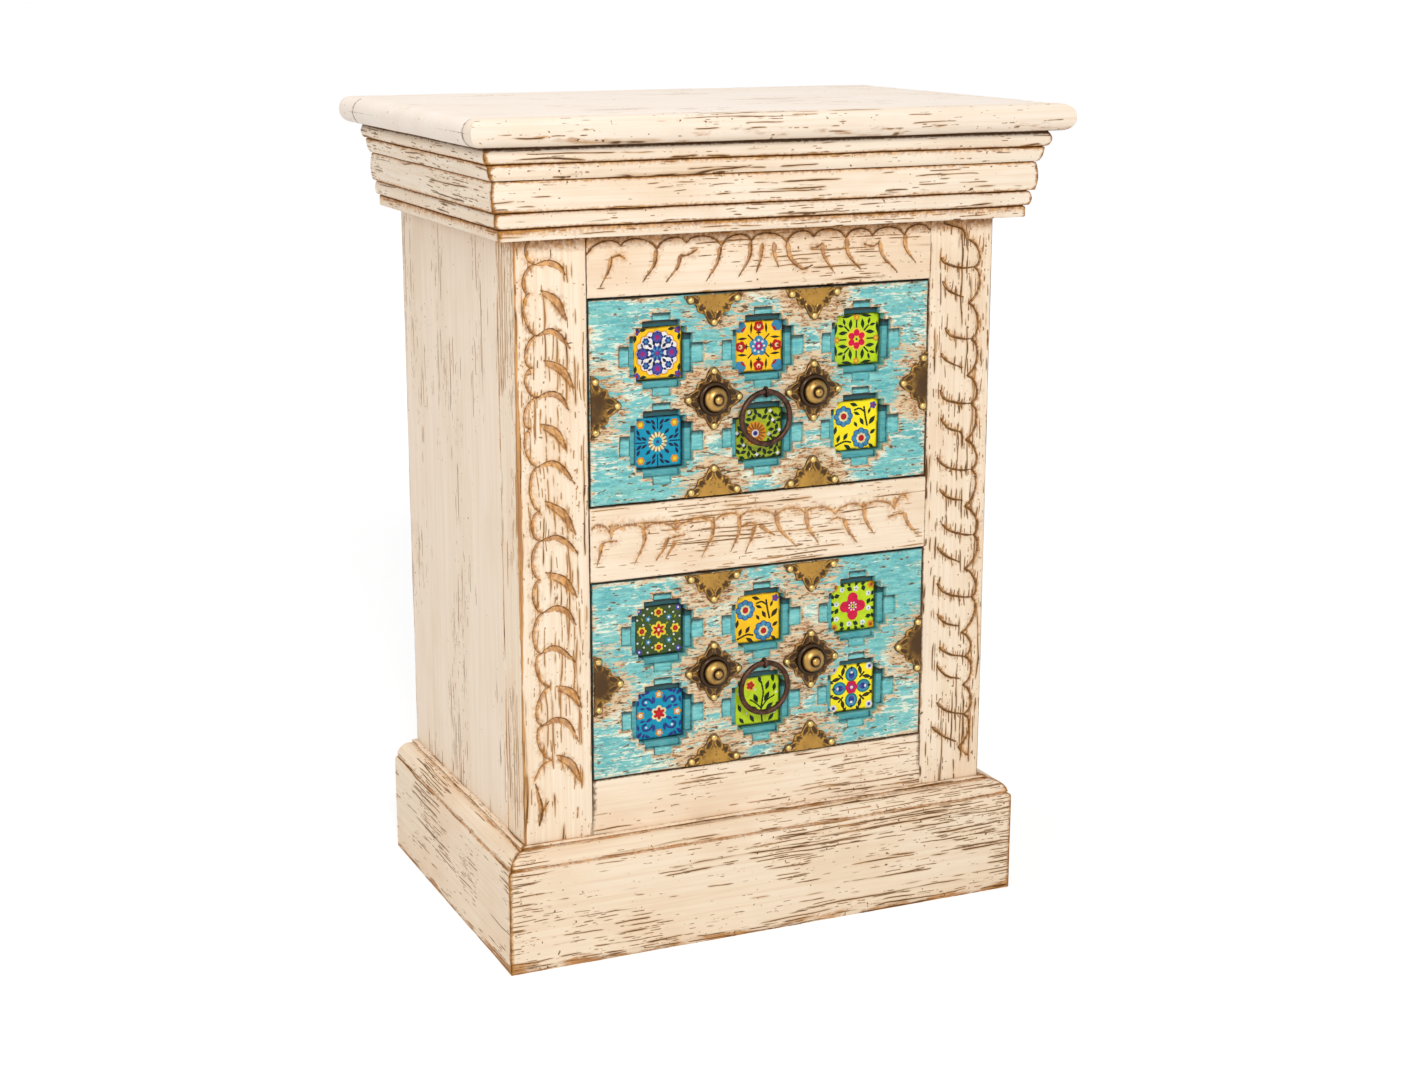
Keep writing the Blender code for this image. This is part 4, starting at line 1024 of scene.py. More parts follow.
def drawer_front(level, middle_z, seed):
    """A drawer front with its stepped recesses, worn along every arris, with shade painted in its recesses
    and round its edges.
    """
    walls_x = (POCKET[0], INNER_STEP[0], INNER_STEP[2], OUTER_STEP[0], OUTER_STEP[2])
    walls_z = (POCKET[1], INNER_STEP[1], INNER_STEP[2], OUTER_STEP[1], OUTER_STEP[2])
    limits_x = [middle + side * wall for middle in TILE_X for side in (-1, 1) for wall in walls_x]
    limits_z = [middle + side * wall for middle in TILE_Z for side in (-1, 1) for wall in walls_z]
    quarter = np.linspace(0, math.pi / 2, 4)[:3]
    lines_x = cut_lines(limits_x, FRONT_HALF - FRONT_ARRIS)
    lines_z = cut_lines(limits_z, FRONT_HALF_HEIGHT - FRONT_ARRIS)
    rim = FRONT_ARRIS * (1 - np.cos(quarter))
    back_off = FRONT_ARRIS * (1 - np.sin(quarter))
    foot, head = -FRONT_HALF_HEIGHT, FRONT_HALF_HEIGHT
    over_z = np.concatenate([[foot] * 2, foot + rim, lines_z, head - rim[::-1], [head] * 2])
    edge_rows = np.array([FRONT_THICKNESS, EDGE_ROW])
    setback = np.concatenate([edge_rows, back_off, 0 * lines_z, back_off[::-1], edge_rows[::-1]])
    left, right = -FRONT_HALF, FRONT_HALF
    stations = np.concatenate([[left], left + rim, lines_x, right - rim[::-1], [right]])
    end_back = np.concatenate([[EDGE_ROW], back_off, 0 * lines_x, back_off[::-1], [EDGE_ROW]])
    x, z = np.meshgrid(stations, over_z, indexing="ij")
    depth = depth_at(x, z)
    edge = np.minimum(FRONT_HALF - np.abs(x), FRONT_HALF_HEIGHT - np.abs(z))
    worn = 0.8 * np.exp(-(edge / 3.5) ** 2)
    # Painted shade: a dark line along the outer arris, where the front meets the gap round it.
    grime_and_shade = 0.5 * np.exp(-(edge / 0.6) ** 2)
    for within, deep in recesses_at(x, z):
        outside = (depth < deep - 0.5) * (within < 0.1)
        worn = np.maximum(worn, np.exp(-((within + 0.6) / 2.4) ** 2) * outside)
        worn = np.maximum(worn, 1.7 * np.exp(-((within + 0.6) / 0.7) ** 2) * outside)
        # Painted shade: dark lines at the feet of the recess walls, in the inner corners.
        at_foot = np.exp(-((within - 0.25) / 0.6) ** 2) * (np.abs(depth - deep) < 0.5)
        grime_and_shade = np.maximum(grime_and_shade, at_foot * (0.55 if deep > 5 else 0.35))
    # Painted shadow: the steps are darkened just below their upper walls and just right of their left
    # walls.
    below_wall = np.clip((depth - depth_at(x, z + 2.2)) / 2.6, 0, 1)
    beside_wall = np.clip((depth - depth_at(x - 1.5, z)) / 2.6, 0, 1)
    grime_and_shade = np.maximum(grime_and_shade, 0.76 * np.maximum(below_wall, beside_wall))
    # Painted shade: the inner steps are darkened further under their upper walls, as far down as
    # SHADE_FALL.
    under_head = np.clip((depth - depth_at(x, z + SHADE_FALL)) / 2.6, 0, 1)
    painted_step_shade = under_head * (np.abs(depth - INNER_STEP[3]) < 0.5)
    heights = (PLATE_DROP, FRONT_HALF_HEIGHT, -FRONT_HALF_HEIGHT)
    plates = [(side * PLATE_X, height) for side in (-1, 1) for height in heights]
    plates += [(-FRONT_HALF, PLATE_DROP), (FRONT_HALF, PLATE_DROP)]
    for plate_x, plate_z in plates:
        from_plate = np.hypot(x - plate_x, z - plate_z)
        worn = np.maximum(worn, 1.2 * np.clip((PLATE_RUB_REACH - from_plate) / PLATE_RUB_FADE, 0, 1))
    worn = worn * (depth < 1.0)
    at_ends = np.minimum(end_back, EDGE_ROW)[:, None] * (setback < 15)[None, :]
    y = FRONT_FACE + np.maximum(setback[None, :] + 0 * x, at_ends)
    y = np.where(setback[None, :] < 1.6, np.maximum(y, FRONT_FACE + depth), y)
    y = np.where(setback[None, :] == FRONT_THICKNESS, FRONT_REAR, y)
    loops = np.stack([x, y, z + middle_z], axis=-1)
    loops = wander(wander(loops, 38.0, 0.35, seed), 9.0, 0.16, seed + 1)
    # Painted shade of the gap round the front: its side faces are dark near the face and only faintly
    # darkened further back.
    gap_shade = (setback > 1.2)[None, :] | (end_back > 1.2)[:, None]
    on_edge = (setback > 5.0)[None, :] | (end_back > 5.0)[:, None]
    grime_and_shade = np.where(gap_shade, np.maximum(grime_and_shade, 1.0), grime_and_shade)
    grime_and_shade = np.where(on_edge, 0.12, grime_and_shade)
    # The recess depth mark also carries the painted shade of the inner steps.
    recess_and_shade = np.clip(depth / INNER_STEP[3], 0, 1.5) + 0.36 * painted_step_shade
    marks = {"worn": worn, "cut": recess_and_shade, "grime_and_shade": grime_and_shade}
    piece = close_loops(level + "_drawer_front_cut", loops, marks, crease=40)
    piece.data.materials.append(turquoise)
    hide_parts(level + "_drawer_front")
    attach(piece, level + "_drawer")


for level, middle_z in DRAWER_LEVELS.items():
    drawer_front(level, middle_z, 20.0 if level == "upper" else 30.0)

# Drawer boxes: thin hardwood boards left bare, two sides, a back and a bottom behind each front. The sides
# are grooved for the bottom, and the boards are glued and nailed. They keep their CAD shapes.
for level in DRAWER_LEVELS:
    keep_bare(level + "_drawer_side_left", "Y")
    keep_bare(level + "_drawer_side_right", "Y")
    keep_bare(level + "_drawer_back", "X")
    keep_bare(level + "_drawer_bottom", "X")

# Tiles: twelve square glazed tiles, glued into the pockets. Each has a coloured ground and flowers
# brushed on in thick enamel, which stands up a little from the ground under the clear glaze.
TILE_HALF = 19.5
TILE_FACE = -112.7
TILE_ARRIS = 0.9
ENAMEL_MARGIN = 0.7
ENAMEL_LAYER = 0.10
CORNERS = ((-1, -1), (-1, 1), (1, -1), (1, 1))
PINHOLE_BROWN = (0.10, 0.07, 0.04, 1)
# Painted shade for the dark line round each tile's arrises.
RIM_SHADE_DARK = (0.022, 0.020, 0.012, 1)
GROUNDS = {
    "yellow_glaze": ((1.0, 0.84, 0.012, 1), (1.0, 0.72, 0.008, 1)),
    "amber_glaze": ((1.0, 0.61, 0.010, 1), (1.0, 0.49, 0.006, 1)),
    "lime_glaze": ((0.56, 0.74, 0.014, 1), (0.42, 0.58, 0.010, 1)),
    "blue_glaze": ((0.002, 0.31, 0.47, 1), (0.002, 0.21, 0.38, 1)),
    "olive_glaze": ((0.42, 0.50, 0.02, 1), (0.26, 0.33, 0.015, 1)),
    "green_glaze": ((0.052, 0.096, 0.020, 1), (0.028, 0.056, 0.014, 1)),
}
ENAMELS = {
    "white": (0.86, 0.82, 0.80, 1),
    "cobalt": (0.022, 0.042, 0.24, 1),
    "navy": (0.008, 0.018, 0.055, 1),
    "sky": (0.05, 0.27, 0.46, 1),
    "teal": (0.004, 0.20, 0.21, 1),
    "violet": (0.085, 0.075, 0.36, 1),
    "red": (0.52, 0.010, 0.010, 1),
    "crimson": (0.72, 0.006, 0.055, 1),
    "magenta": (0.42, 0.02, 0.17, 1),
    "leaf": (0.010, 0.028, 0.010, 1),
    "bark": (0.032, 0.020, 0.006, 1),
    "orange": (0.78, 0.28, 0.015, 1),
    "yellow": (0.90, 0.66, 0.04, 1),
    "cream": (0.88, 0.74, 0.38, 1),
    "umber": (0.30, 0.10, 0.015, 1),
}


def glaze(name, colour, second):
    """Clear-glazed colour with brush marks, pinholes, a rim of painted shade and a slightly wavy surface.
    """
    finish, tree, shader = new_finish(name, Roughness=0.12, Specular_IOR_Level=0.18)
    swept = fade(tree, mottle(tree, (150, 150, 210), 4, 0.6, 1.0, 0.6), 0.36, 0.68)
    tinted = coat(tree, figure(tree, "MULTIPLY", swept, 0.6), colour, second)
    pits = fade(tree, mottle(tree, (900, 900, 900), 1, 0.5, 3.0), 0.74, 0.80)
    tinted = coat(tree, figure(tree, "MULTIPLY", pits, 0.6), tinted, PINHOLE_BROWN)
    # Painted shade: where the arris mark lies, the glaze darkens in patches, as the shadow line round the
    # tile in its pocket.
    worn = mark_of(tree, "worn")
    chipped = fade(tree, mottle(tree, (90, 90, 90), 3, 0.6, 7.0), 0.30, 0.55)
    rim = figure(tree, "MULTIPLY", worn, chipped)
    tinted = coat(tree, figure(tree, "MULTIPLY", rim, 0.85), tinted, RIM_SHADE_DARK)
    tree.links.new(tinted, shader.inputs["Base Color"])
    relief(tree, shader, mottle(tree, (130, 130, 130), 2, 0.5, 5.0), 0.12, 0.0006)
    return finish


ground_finish = {slot: glaze(slot.replace("_", " "), *tones) for slot, tones in GROUNDS.items()}
enamel_finish = {}
for name, tone in ENAMELS.items():
    deeper = tuple(0.62 * part for part in tone[:3]) + (1,)
    enamel_finish[name] = glaze(name + " enamel", tone, deeper)
enamel_finish["olive"] = ground_finish["olive_glaze"]
enamel_finish["lime"] = ground_finish["lime_glaze"]


def dot(x, z, radius, colour, layer=1):
    """A round dab of the brush."""
    turn = np.linspace(0, 2 * math.pi, 16, endpoint=False)
    return np.stack([x + radius * np.cos(turn), z + radius * np.sin(turn)], axis=1), colour, layer


def petal(x, z, length, width, angle, colour, layer=1, point=0.0):
    """An oval brush stroke; a point of 1 draws both ends out into a leaf."""
    turn = np.linspace(0, 2 * math.pi, 18, endpoint=False)
    along = 0.5 * length * np.cos(turn)
    over = 0.5 * width * np.sin(turn) * (1 - point * 0.75 * np.abs(np.cos(turn)) ** 1.5)
    c, s = math.cos(math.radians(angle)), math.sin(math.radians(angle))
    return np.stack([x + along * c - over * s, z + along * s + over * c], axis=1), colour, layer


def leaf(x, z, length, width, angle, colour="leaf", layer=1):
    """An oval stroke with both ends drawn out."""
    return petal(x, z, length, width, angle, colour, layer, 1.0)


def blossom(x, z, radius, lobes, colour, layer=1, depth=0.25, turn_by=0.0, sharp=1.0):
    """A flower's outline: rounded lobes, or the points of a star."""
    turn = np.linspace(0, 2 * math.pi, 8 * lobes, endpoint=False)
    wave = np.abs(np.cos(lobes * (turn - math.radians(turn_by)) / 2)) ** sharp
    reach = radius * (1 - depth + depth * wave)
    return np.stack([x + reach * np.cos(turn), z + reach * np.sin(turn)], axis=1), colour, layer


def eyed_flower(x, z, radius, lobes, colour, depth, eye, eye_colour, layer=1):
    """A small flower with a dot for its eye."""
    return [blossom(x, z, radius, lobes, colour, layer, depth), dot(x, z, eye, eye_colour, layer + 1)]


def polar(reach, angle):
    """The place at that reach from a tile's middle, at that angle in degrees."""
    a = math.radians(angle)
    return reach * math.cos(a), reach * math.sin(a)


def petals_round(x, z, reach, count, length, width, colour, layer=1, turn_by=0.0):
    """A ring of petals that point outwards."""
    strokes = []
    for k in range(count):
        angle = turn_by + 360.0 * k / count
        out_x, out_z = polar(reach, angle)
        strokes.append(petal(x + out_x, z + out_z, length, width, angle, colour, layer))
    return strokes


def stem(points, width, colour="leaf"):
    """A thin brushed line, as overlapping short strokes."""
    path = smooth_path(points, 3 * len(points))
    strokes = []
    for start, end in zip(path[:-1], path[1:]):
        x, z = (start + end) / 2
        run = end - start
        angle = math.degrees(math.atan2(run[1], run[0]))
        strokes.append(petal(x, z, math.hypot(*run) * 1.35, width, angle, colour))
    return strokes


def four_ways(make, reach, turn_by=0.0):
    """The same motif on four sides, turned outwards."""
    strokes = []
    for side in range(0, 360, 90):
        strokes += make(*polar(reach, side + turn_by), side + turn_by)
    return strokes


def posy():
    """White medallion with violet and blue flowers."""
    def large_flower(x, z, angle):
        heart = eyed_flower(x, z, 3.7, 7, "violet", 0.15, 1.7, "magenta", 4)
        return [blossom(x, z, 4.8, 8, "cobalt", 3, 0.12)] + heart

    def small_flower(x, z, angle):
        return eyed_flower(x, z, 2.9, 6, "cobalt", 0.25, 1.2, "sky", 3)

    strokes = [blossom(0, 0, 17.4, 16, "orange", 1, 0.08), blossom(0, 0, 16.7, 16, "white", 2, 0.11)]
    strokes += four_ways(large_flower, 11.6) + four_ways(small_flower, 12.6, 45)
    strokes += petals_round(0, 0, 3.9, 8, 5.2, 2.9, "cobalt", 3, 22.5)
    strokes += petals_round(0, 0, 3.4, 8, 3.4, 1.7, "sky", 4)
    strokes += eyed_flower(0, 0, 2.4, 6, "violet", 0.2, 1.2, "magenta", 5)
    for side in range(0, 360, 90):
        for bend in (-26, 0, 26):
            strokes.append(leaf(*polar(8.0, side + 45 + bend), 4.8, 2.5, side + 45 + 1.6 * bend, "navy", 3))
        for bend in (-1, 1):
            strokes.append(leaf(*polar(13.4, side + 27 * bend), 3.6, 1.7, side + 70 * bend, "navy", 3))
    for side_x, side_z in CORNERS:
        strokes += eyed_flower(16.4 * side_x, 16.4 * side_z, 2.9, 5, "violet", 0.25, 1.0, "red")
        strokes.append(leaf(17.4 * side_x, 11.4 * side_z, 6.0, 2.7, 82))
        strokes.append(leaf(11.4 * side_x, 17.4 * side_z, 6.0, 2.7, 8))
    return strokes


def tulips():
    """Blue rose in the middle, red tulips on four sides, thick dark stems with leaves."""
    def tulip(x, z, angle):
        c, s = polar(1.0, angle)
        bud = stem([(x - 6.4 * c, z - 6.4 * s), (x - 2.6 * c, z - 2.6 * s)], 1.0, "bark")
        bud.append(petal(x - 4.6 * c, z - 4.6 * s, 4.6, 1.2, angle + 90, "bark"))
        bud.append(blossom(x, z, 4.4, 5, "red", 1, 0.2, angle + 180))
        bud.append(dot(x + 0.3 * c, z + 0.3 * s, 1.7, "cream", 2))
        bud.append(dot(x + 1.0 * c, z + 1.0 * s, 0.9, "red", 3))
        return bud

    strokes = [blossom(0, 0, 7.9, 5, "sky", 1, 0.22, 90)]
    strokes += petals_round(0, 0, 4.5, 8, 2.0, 1.8, "white", 2)
    strokes += eyed_flower(0, 0, 3.4, 6, "magenta", 0.15, 1.1, "white", 3)
    strokes += four_ways(tulip, 14.6)
    for corner in range(45, 360, 90):
        strokes += stem([polar(6.6, corner), polar(12.4, corner)], 1.2, "bark")
        for bend in (-1, 1):
            b = math.radians(corner) + bend * 0.36
            spot = (14.8 * math.cos(b), 14.8 * math.sin(b))
            strokes.append(leaf(*spot, 8.2, 2.0, corner + bend * 48, "bark"))
        strokes.append(blossom(*polar(21.4, corner), 4.8, 6, "sky", 1, 0.15))
        strokes.append(petal(*polar(18.2, corner), 1.9, 5.0, corner, "red", 2))
    return strokes


def red_rosette():
    """Red six-petalled flower among dark leaves on lime."""
    strokes = [blossom(0, 0, 9.2, 6, "yellow", 1, 0.24, 90)]
    strokes += petals_round(0, 0, 4.9, 6, 5.6, 5.0, "crimson", 2, 90)
    strokes += [dot(0, 0, 1.9, "lime", 3), dot(0, 0, 0.9, "leaf", 4)]
    for side in range(0, 360, 90):
        corner = side + 45
        strokes += stem([polar(9.0, corner), polar(14.5, corner)], 1.4)
        for bend in (-21, 21):
            strokes.append(leaf(*polar(12.6, corner + bend), 8.0, 3.2, corner + bend * 2.4))
        for bend in (-1, 1):
            strokes.append(leaf(*polar(17.2, corner + 7 * bend), 5.4, 2.3, corner + 30 * bend))
        strokes += stem([polar(8.8, side), polar(14.5, side)], 1.3)
        strokes += eyed_flower(*polar(16.6, side), 2.6, 5, "orange", 0.3, 1.0, "yellow")
        out_x, out_z = polar(17.6, side)
        over_x, over_z = polar(8.2, side + 90)
        for bend in (-1, 1):
            spot = (out_x + bend * over_x, out_z + bend * over_z)
            strokes.append(leaf(*spot, 9.4, 2.5, side + 90 + bend * 7))
    return strokes


def sun_ring():
    """Ring of pale rays on blue with an orange flower in each corner and dark leaves all round."""
    strokes = petals_round(0, 0, 5.6, 14, 4.2, 1.9, "cream", 2)
    strokes += petals_round(0, 0, 6.3, 14, 2.8, 1.0, "umber", 2, 12.9)
    strokes.append(dot(0, 0, 1.3, "cobalt", 2))
    for side in range(0, 360, 90):
        strokes += stem([polar(9.6, side), polar(17.8, side)], 1.0, "navy")
        for bend in (-1, 1):
            for reach, spread, lean in ((11.2, 15, 28), (15.2, 13, 40), (17.2, 26, 66)):
                spot = polar(reach, side + bend * spread)
                strokes.append(leaf(*spot, 5.6, 2.3, side + bend * lean, "navy"))
        corner = side + 45
        strokes.append(leaf(*polar(10.6, corner), 5.4, 2.5, corner, "navy"))
        strokes += eyed_flower(*polar(19.2, corner), 3.2, 6, "orange", 0.2, 1.7, "yellow")
    return strokes


def daisy():
    """Brown daisy in a thicket of dark leaves with pale buds."""
    strokes = []
    for row in range(-4, 5):
        for column in range(-4, 5):
            x, z = 4.4 * column + 1.3 * math.sin(2.1 * row), 4.4 * row + 1.3 * math.cos(1.7 * column)
            if abs(x) > 18.0 or abs(z) > 18.0 or math.hypot(x + 2.5, z) < 10.4:
                continue
            if (row + 2 * column) % 4 == 0:
                strokes.append(blossom(x, z, 1.5, 4, "white", 2, 0.3))
            strokes.append(leaf(x + 0.9, z - 1.1, 5.6, 3.0, 45 * row + 70 * column))
    strokes.append(blossom(-2.5, 0, 9.2, 16, "orange", 1, 0.10))
    strokes += petals_round(-2.5, 0, 5.6, 16, 6.0, 1.5, "umber", 2)
    strokes += [dot(-2.5, 0, 2.9, "white", 3), dot(-2.5, 0, 1.9, "violet", 4), dot(-2.5, 0, 0.9, "navy", 5)]
    return strokes


def two_roses(leaf_tone):
    """Two blue scalloped flowers with red hearts, on a leafy branch."""
    strokes = []
    for x, z in ((-10.2, 7.0), (5.2, -10.8)):
        strokes.append(blossom(x, z, 8.2, 8, "cobalt", 1, 0.14))
        strokes += petals_round(x, z, 5.5, 8, 4.6, 4.0, "sky", 2)
        strokes += eyed_flower(x, z, 4.2, 8, "cream", 0.12, 2.5, "red", 3)
    strokes += stem([(10.4, -1.5), (8.6, 6.0), (7.4, 13.6)], 1.6, leaf_tone)
    strokes += stem([(-1.0, 11.2), (3.6, 12.4), (8.2, 9.4)], 1.5, leaf_tone)
    strokes += stem([(-17.0, -15.6), (-9.0, -12.6), (-3.4, -13.6)], 1.5, leaf_tone)
    leaves = (
        (-1.4, 15.6, 7.2, 3.0, -18), (1.2, 8.6, 6.2, 2.6, -24), (5.6, 2.2, 6.8, 3.2, 118),
        (14.4, 2.6, 8.4, 3.8, 50), (0.4, 0.2, 5.2, 2.6, 122), (-17.0, -3.4, 6.8, 3.0, 78),
        (-14.4, -10.2, 6.6, 3.0, 72), (-8.2, -8.8, 6.6, 3.2, 58), (15.0, -6.4, 5.8, 3.0, 36),
        (-6.4, -17.0, 7.6, 3.2, -32), (13.8, -17.4, 6.0, 2.8, -38), (-17.2, 16.2, 4.6, 2.2, 40),
        (12.0, 10.0, 5.4, 2.2, 68),
    )
    strokes += [leaf(*spot, leaf_tone) for spot in leaves]
    strokes += eyed_flower(15.2, 14.2, 3.0, 5, "violet", 0.3, 1.1, "magenta")
    return strokes


def star_field():
    """Red and yellow stars on dark green with small blue and white flowers."""
    def small_star(x, z, angle):
        star = blossom(x, z, 3.9, 6, "yellow", 1, 0.32, angle)
        return [star, dot(x, z, 2.1, "red", 2), dot(x, z, 0.7, "umber", 3)]

    strokes = [blossom(0, 0, 6.8, 6, "yellow", 1, 0.34, 90), blossom(0, 0, 4.9, 6, "red", 2, 0.5, 90, 1.4)]
    strokes.append(dot(0, 0, 1.2, "cream", 3))
    strokes += four_ways(small_star, 13.6)
    for side_x, side_z in CORNERS:
        strokes += eyed_flower(8.4 * side_x, 9.0 * side_z, 2.3, 5, "sky", 0.35, 0.9, "white")
        strokes += eyed_flower(16.0 * side_x, 16.0 * side_z, 2.6, 5, "violet", 0.35, 0.9, "white")
        for x, z in ((5.2, 13.4), (12.4, 5.0), (12.0, 12.6), (17.2, 9.0), (9.0, 17.0)):
            strokes.append(dot(x * side_x, z * side_z, 0.8, "white"))
        strokes.append(leaf(6.8 * side_x, 4.6 * side_z, 2.8, 1.0, 40 * side_x * side_z, "olive"))
        strokes.append(leaf(13.4 * side_x, 9.2 * side_z, 3.2, 1.0, 60 * side_x * side_z, "olive"))
    return strokes


def clover():
    """Four crimson petals ringed with white buds and dark leaves on lime."""
    strokes = [petal(0, 0, 14.0, 14.0, 45, "magenta", 1, 0.15)]
    strokes += petals_round(0, 0, 6.6, 4, 9.0, 8.8, "crimson", 2)
    strokes += petals_round(0, 0, 3.0, 8, 1.6, 1.4, "white", 3, 22.5)
    strokes += [dot(0, 0, 1.7, "lime", 3), dot(0, 0, 0.8, "leaf", 4)]
    for k in range(16):
        a = math.radians(22.5 * k + 11)
        reach = 14.0 / max(abs(math.cos(a)), abs(math.sin(a)), 0.84)
        x, z = reach * math.cos(a), reach * math.sin(a)
        if k % 2:
            strokes += eyed_flower(x, z, 2.3, 5, "white", 0.3, 0.7, "sky")
        else:
            strokes.append(leaf(x, z, 5.2, 3.8, 22.5 * k + 60))
    for side_x, side_z in CORNERS:
        strokes += eyed_flower(16.0 * side_x, 16.0 * side_z, 3.2, 6, "orange", 0.25, 1.4, "umber", 2)
        for x, z, angle in ((9.0, 17.4, 15), (17.4, 9.0, 75), (3.2, 17.8, 60), (17.8, 3.2, 30)):
            strokes.append(leaf(x * side_x, z * side_z, 4.4, 2.8, angle * side_x * side_z))
    return strokes


def blue_star():
    """Red star with a yellow edge on blue, with dark scrolls and four pale flowers."""
    scroll = ((5.0, 8.4), (8.0, 12.0), (12.4, 12.2), (13.4, 8.6), (10.4, 7.4))
    leaves = (
        (8.2, 4.4, 6.4, 2.8, 25), (4.4, 11.4, 6.2, 2.6, 75), (16.6, 15.6, 6.8, 3.2, 45),
        (9.8, 17.2, 5.8, 2.4, -20), (17.2, 9.6, 5.6, 2.4, 100), (13.0, 16.6, 4.6, 2.2, 60),
        (13.6, 5.0, 4.6, 2.0, 10),
    )

    def small_flower(x, z, angle):
        flower = blossom(x, z, 3.2, 5, "orange", 1, 0.3, angle)
        return [flower, dot(x, z, 1.6, "white", 2), dot(x, z, 0.7, "yellow", 3)]

    strokes = [blossom(0, 0, 6.6, 6, "cream", 1, 0.30, 90), blossom(0, 0, 5.0, 6, "red", 2, 0.42, 90, 1.3)]
    strokes.append(dot(0, 0, 1.0, "crimson", 3))
    strokes += four_ways(small_flower, 15.2)
    for side_x, side_z in CORNERS:
        strokes += stem([(x * side_x, z * side_z) for x, z in scroll], 1.9, "cobalt")
        for x, z, length, width, angle in leaves:
            lean = angle * side_x * side_z
            strokes.append(leaf(x * side_x, z * side_z, length, width, lean, "cobalt"))
        strokes.append(dot(10.6 * side_x, 10.0 * side_z, 0.9, "white", 2))
    return strokes


def red_on_branch():
    """A red flower over a branching dark plant on lime."""
    strokes = [blossom(-5.6, 12.4, 5.2, 6, "yellow", 1, 0.25)]
    strokes += eyed_flower(-5.6, 12.4, 3.5, 5, "red", 0.3, 0.9, "umber", 2)
    strokes += stem([(4.6, -18.0), (3.6, -7.0), (5.4, 5.0), (3.6, 14.5)], 1.5)
    strokes += stem([(3.6, -7.0), (8.6, -1.0), (15.0, 2.4)], 1.3)
    strokes += stem([(3.8, -7.0), (-1.4, -2.0), (-6.0, 1.0)], 1.2)
    leaves = (
        (-1.0, 1.4, 8.4, 4.0, 112), (8.4, 2.0, 8.6, 4.0, 62), (-1.8, -7.0, 8.0, 3.6, 140),
        (10.6, -6.0, 8.4, 3.8, 40), (8.8, 11.0, 8.0, 3.4, 72), (14.8, 9.0, 7.2, 3.2, 82),
        (2.2, 16.6, 6.8, 3.0, 100), (13.4, 16.6, 7.2, 3.2, 100), (-7.2, -4.0, 6.8, 3.0, 160),
        (-12.2, 2.6, 6.8, 3.0, 80), (-14.8, -5.0, 7.0, 3.0, 110), (-13.0, -15.2, 6.6, 3.0, 130),
        (-4.2, -14.4, 7.6, 3.2, 120), (12.0, -15.0, 7.6, 3.2, 50), (16.8, -6.0, 6.0, 2.6, 80),
        (-15.8, 14.6, 6.0, 2.6, 60),
    )
    strokes += [leaf(*spot) for spot in leaves]
    for x, z in ((-9.0, -9.6), (-1.4, 8.6), (14.6, -11.4), (16.4, 4.6), (-15.8, 6.6)):
        strokes.append(dot(x, z, 0.9, "white"))
    return strokes


def four_hearts():
    """Four blue heart petals round a red flower, with dark commas in the corners of a yellow ground."""
    def heart(x, z, angle):
        c, s = polar(1.0, angle)
        layers = [petal(x, z, 12.0, 11.0, angle, "teal"), petal(x, z, 9.4, 8.4, angle, "sky", 2)]
        layers.append(leaf(x + 5.0 * c, z + 5.0 * s, 3.6, 2.2, angle, "navy", 2))
        layers.append(petal(x - 0.4 * c, z - 0.4 * s, 7.0, 5.2, angle, "cobalt", 3, 0.5))
        layers.append(petal(x + 1.6 * c, z + 1.6 * s, 2.6, 2.0, angle + 90, "white", 4))
        layers.append(dot(x - 2.6 * c, z - 2.6 * s, 1.2, "violet", 4))
        return layers

    strokes = four_ways(heart, 10.6)
    strokes.append(blossom(0, 0, 5.4, 6, "crimson", 4, 0.14))
    strokes += eyed_flower(0, 0, 3.2, 6, "magenta", 0.2, 1.3, "white", 5)
    for corner in range(45, 360, 90):
        for bend in (-1, 1):
            strokes.append(leaf(*polar(15.4, corner + bend * 16), 8.6, 3.4, corner + bend * 58, "bark"))
            strokes.append(leaf(*polar(19.4, corner + bend * 27), 6.6, 2.8, corner + bend * 16, "bark"))
        strokes += stem([polar(10.4, corner), polar(16.0, corner)], 1.6, "bark")
        strokes.append(blossom(*polar(22.6, corner), 3.4, 5, "white", 1, 0.25))
        strokes.append(dot(*polar(22.2, corner), 1.4, "violet", 2))
    return strokes


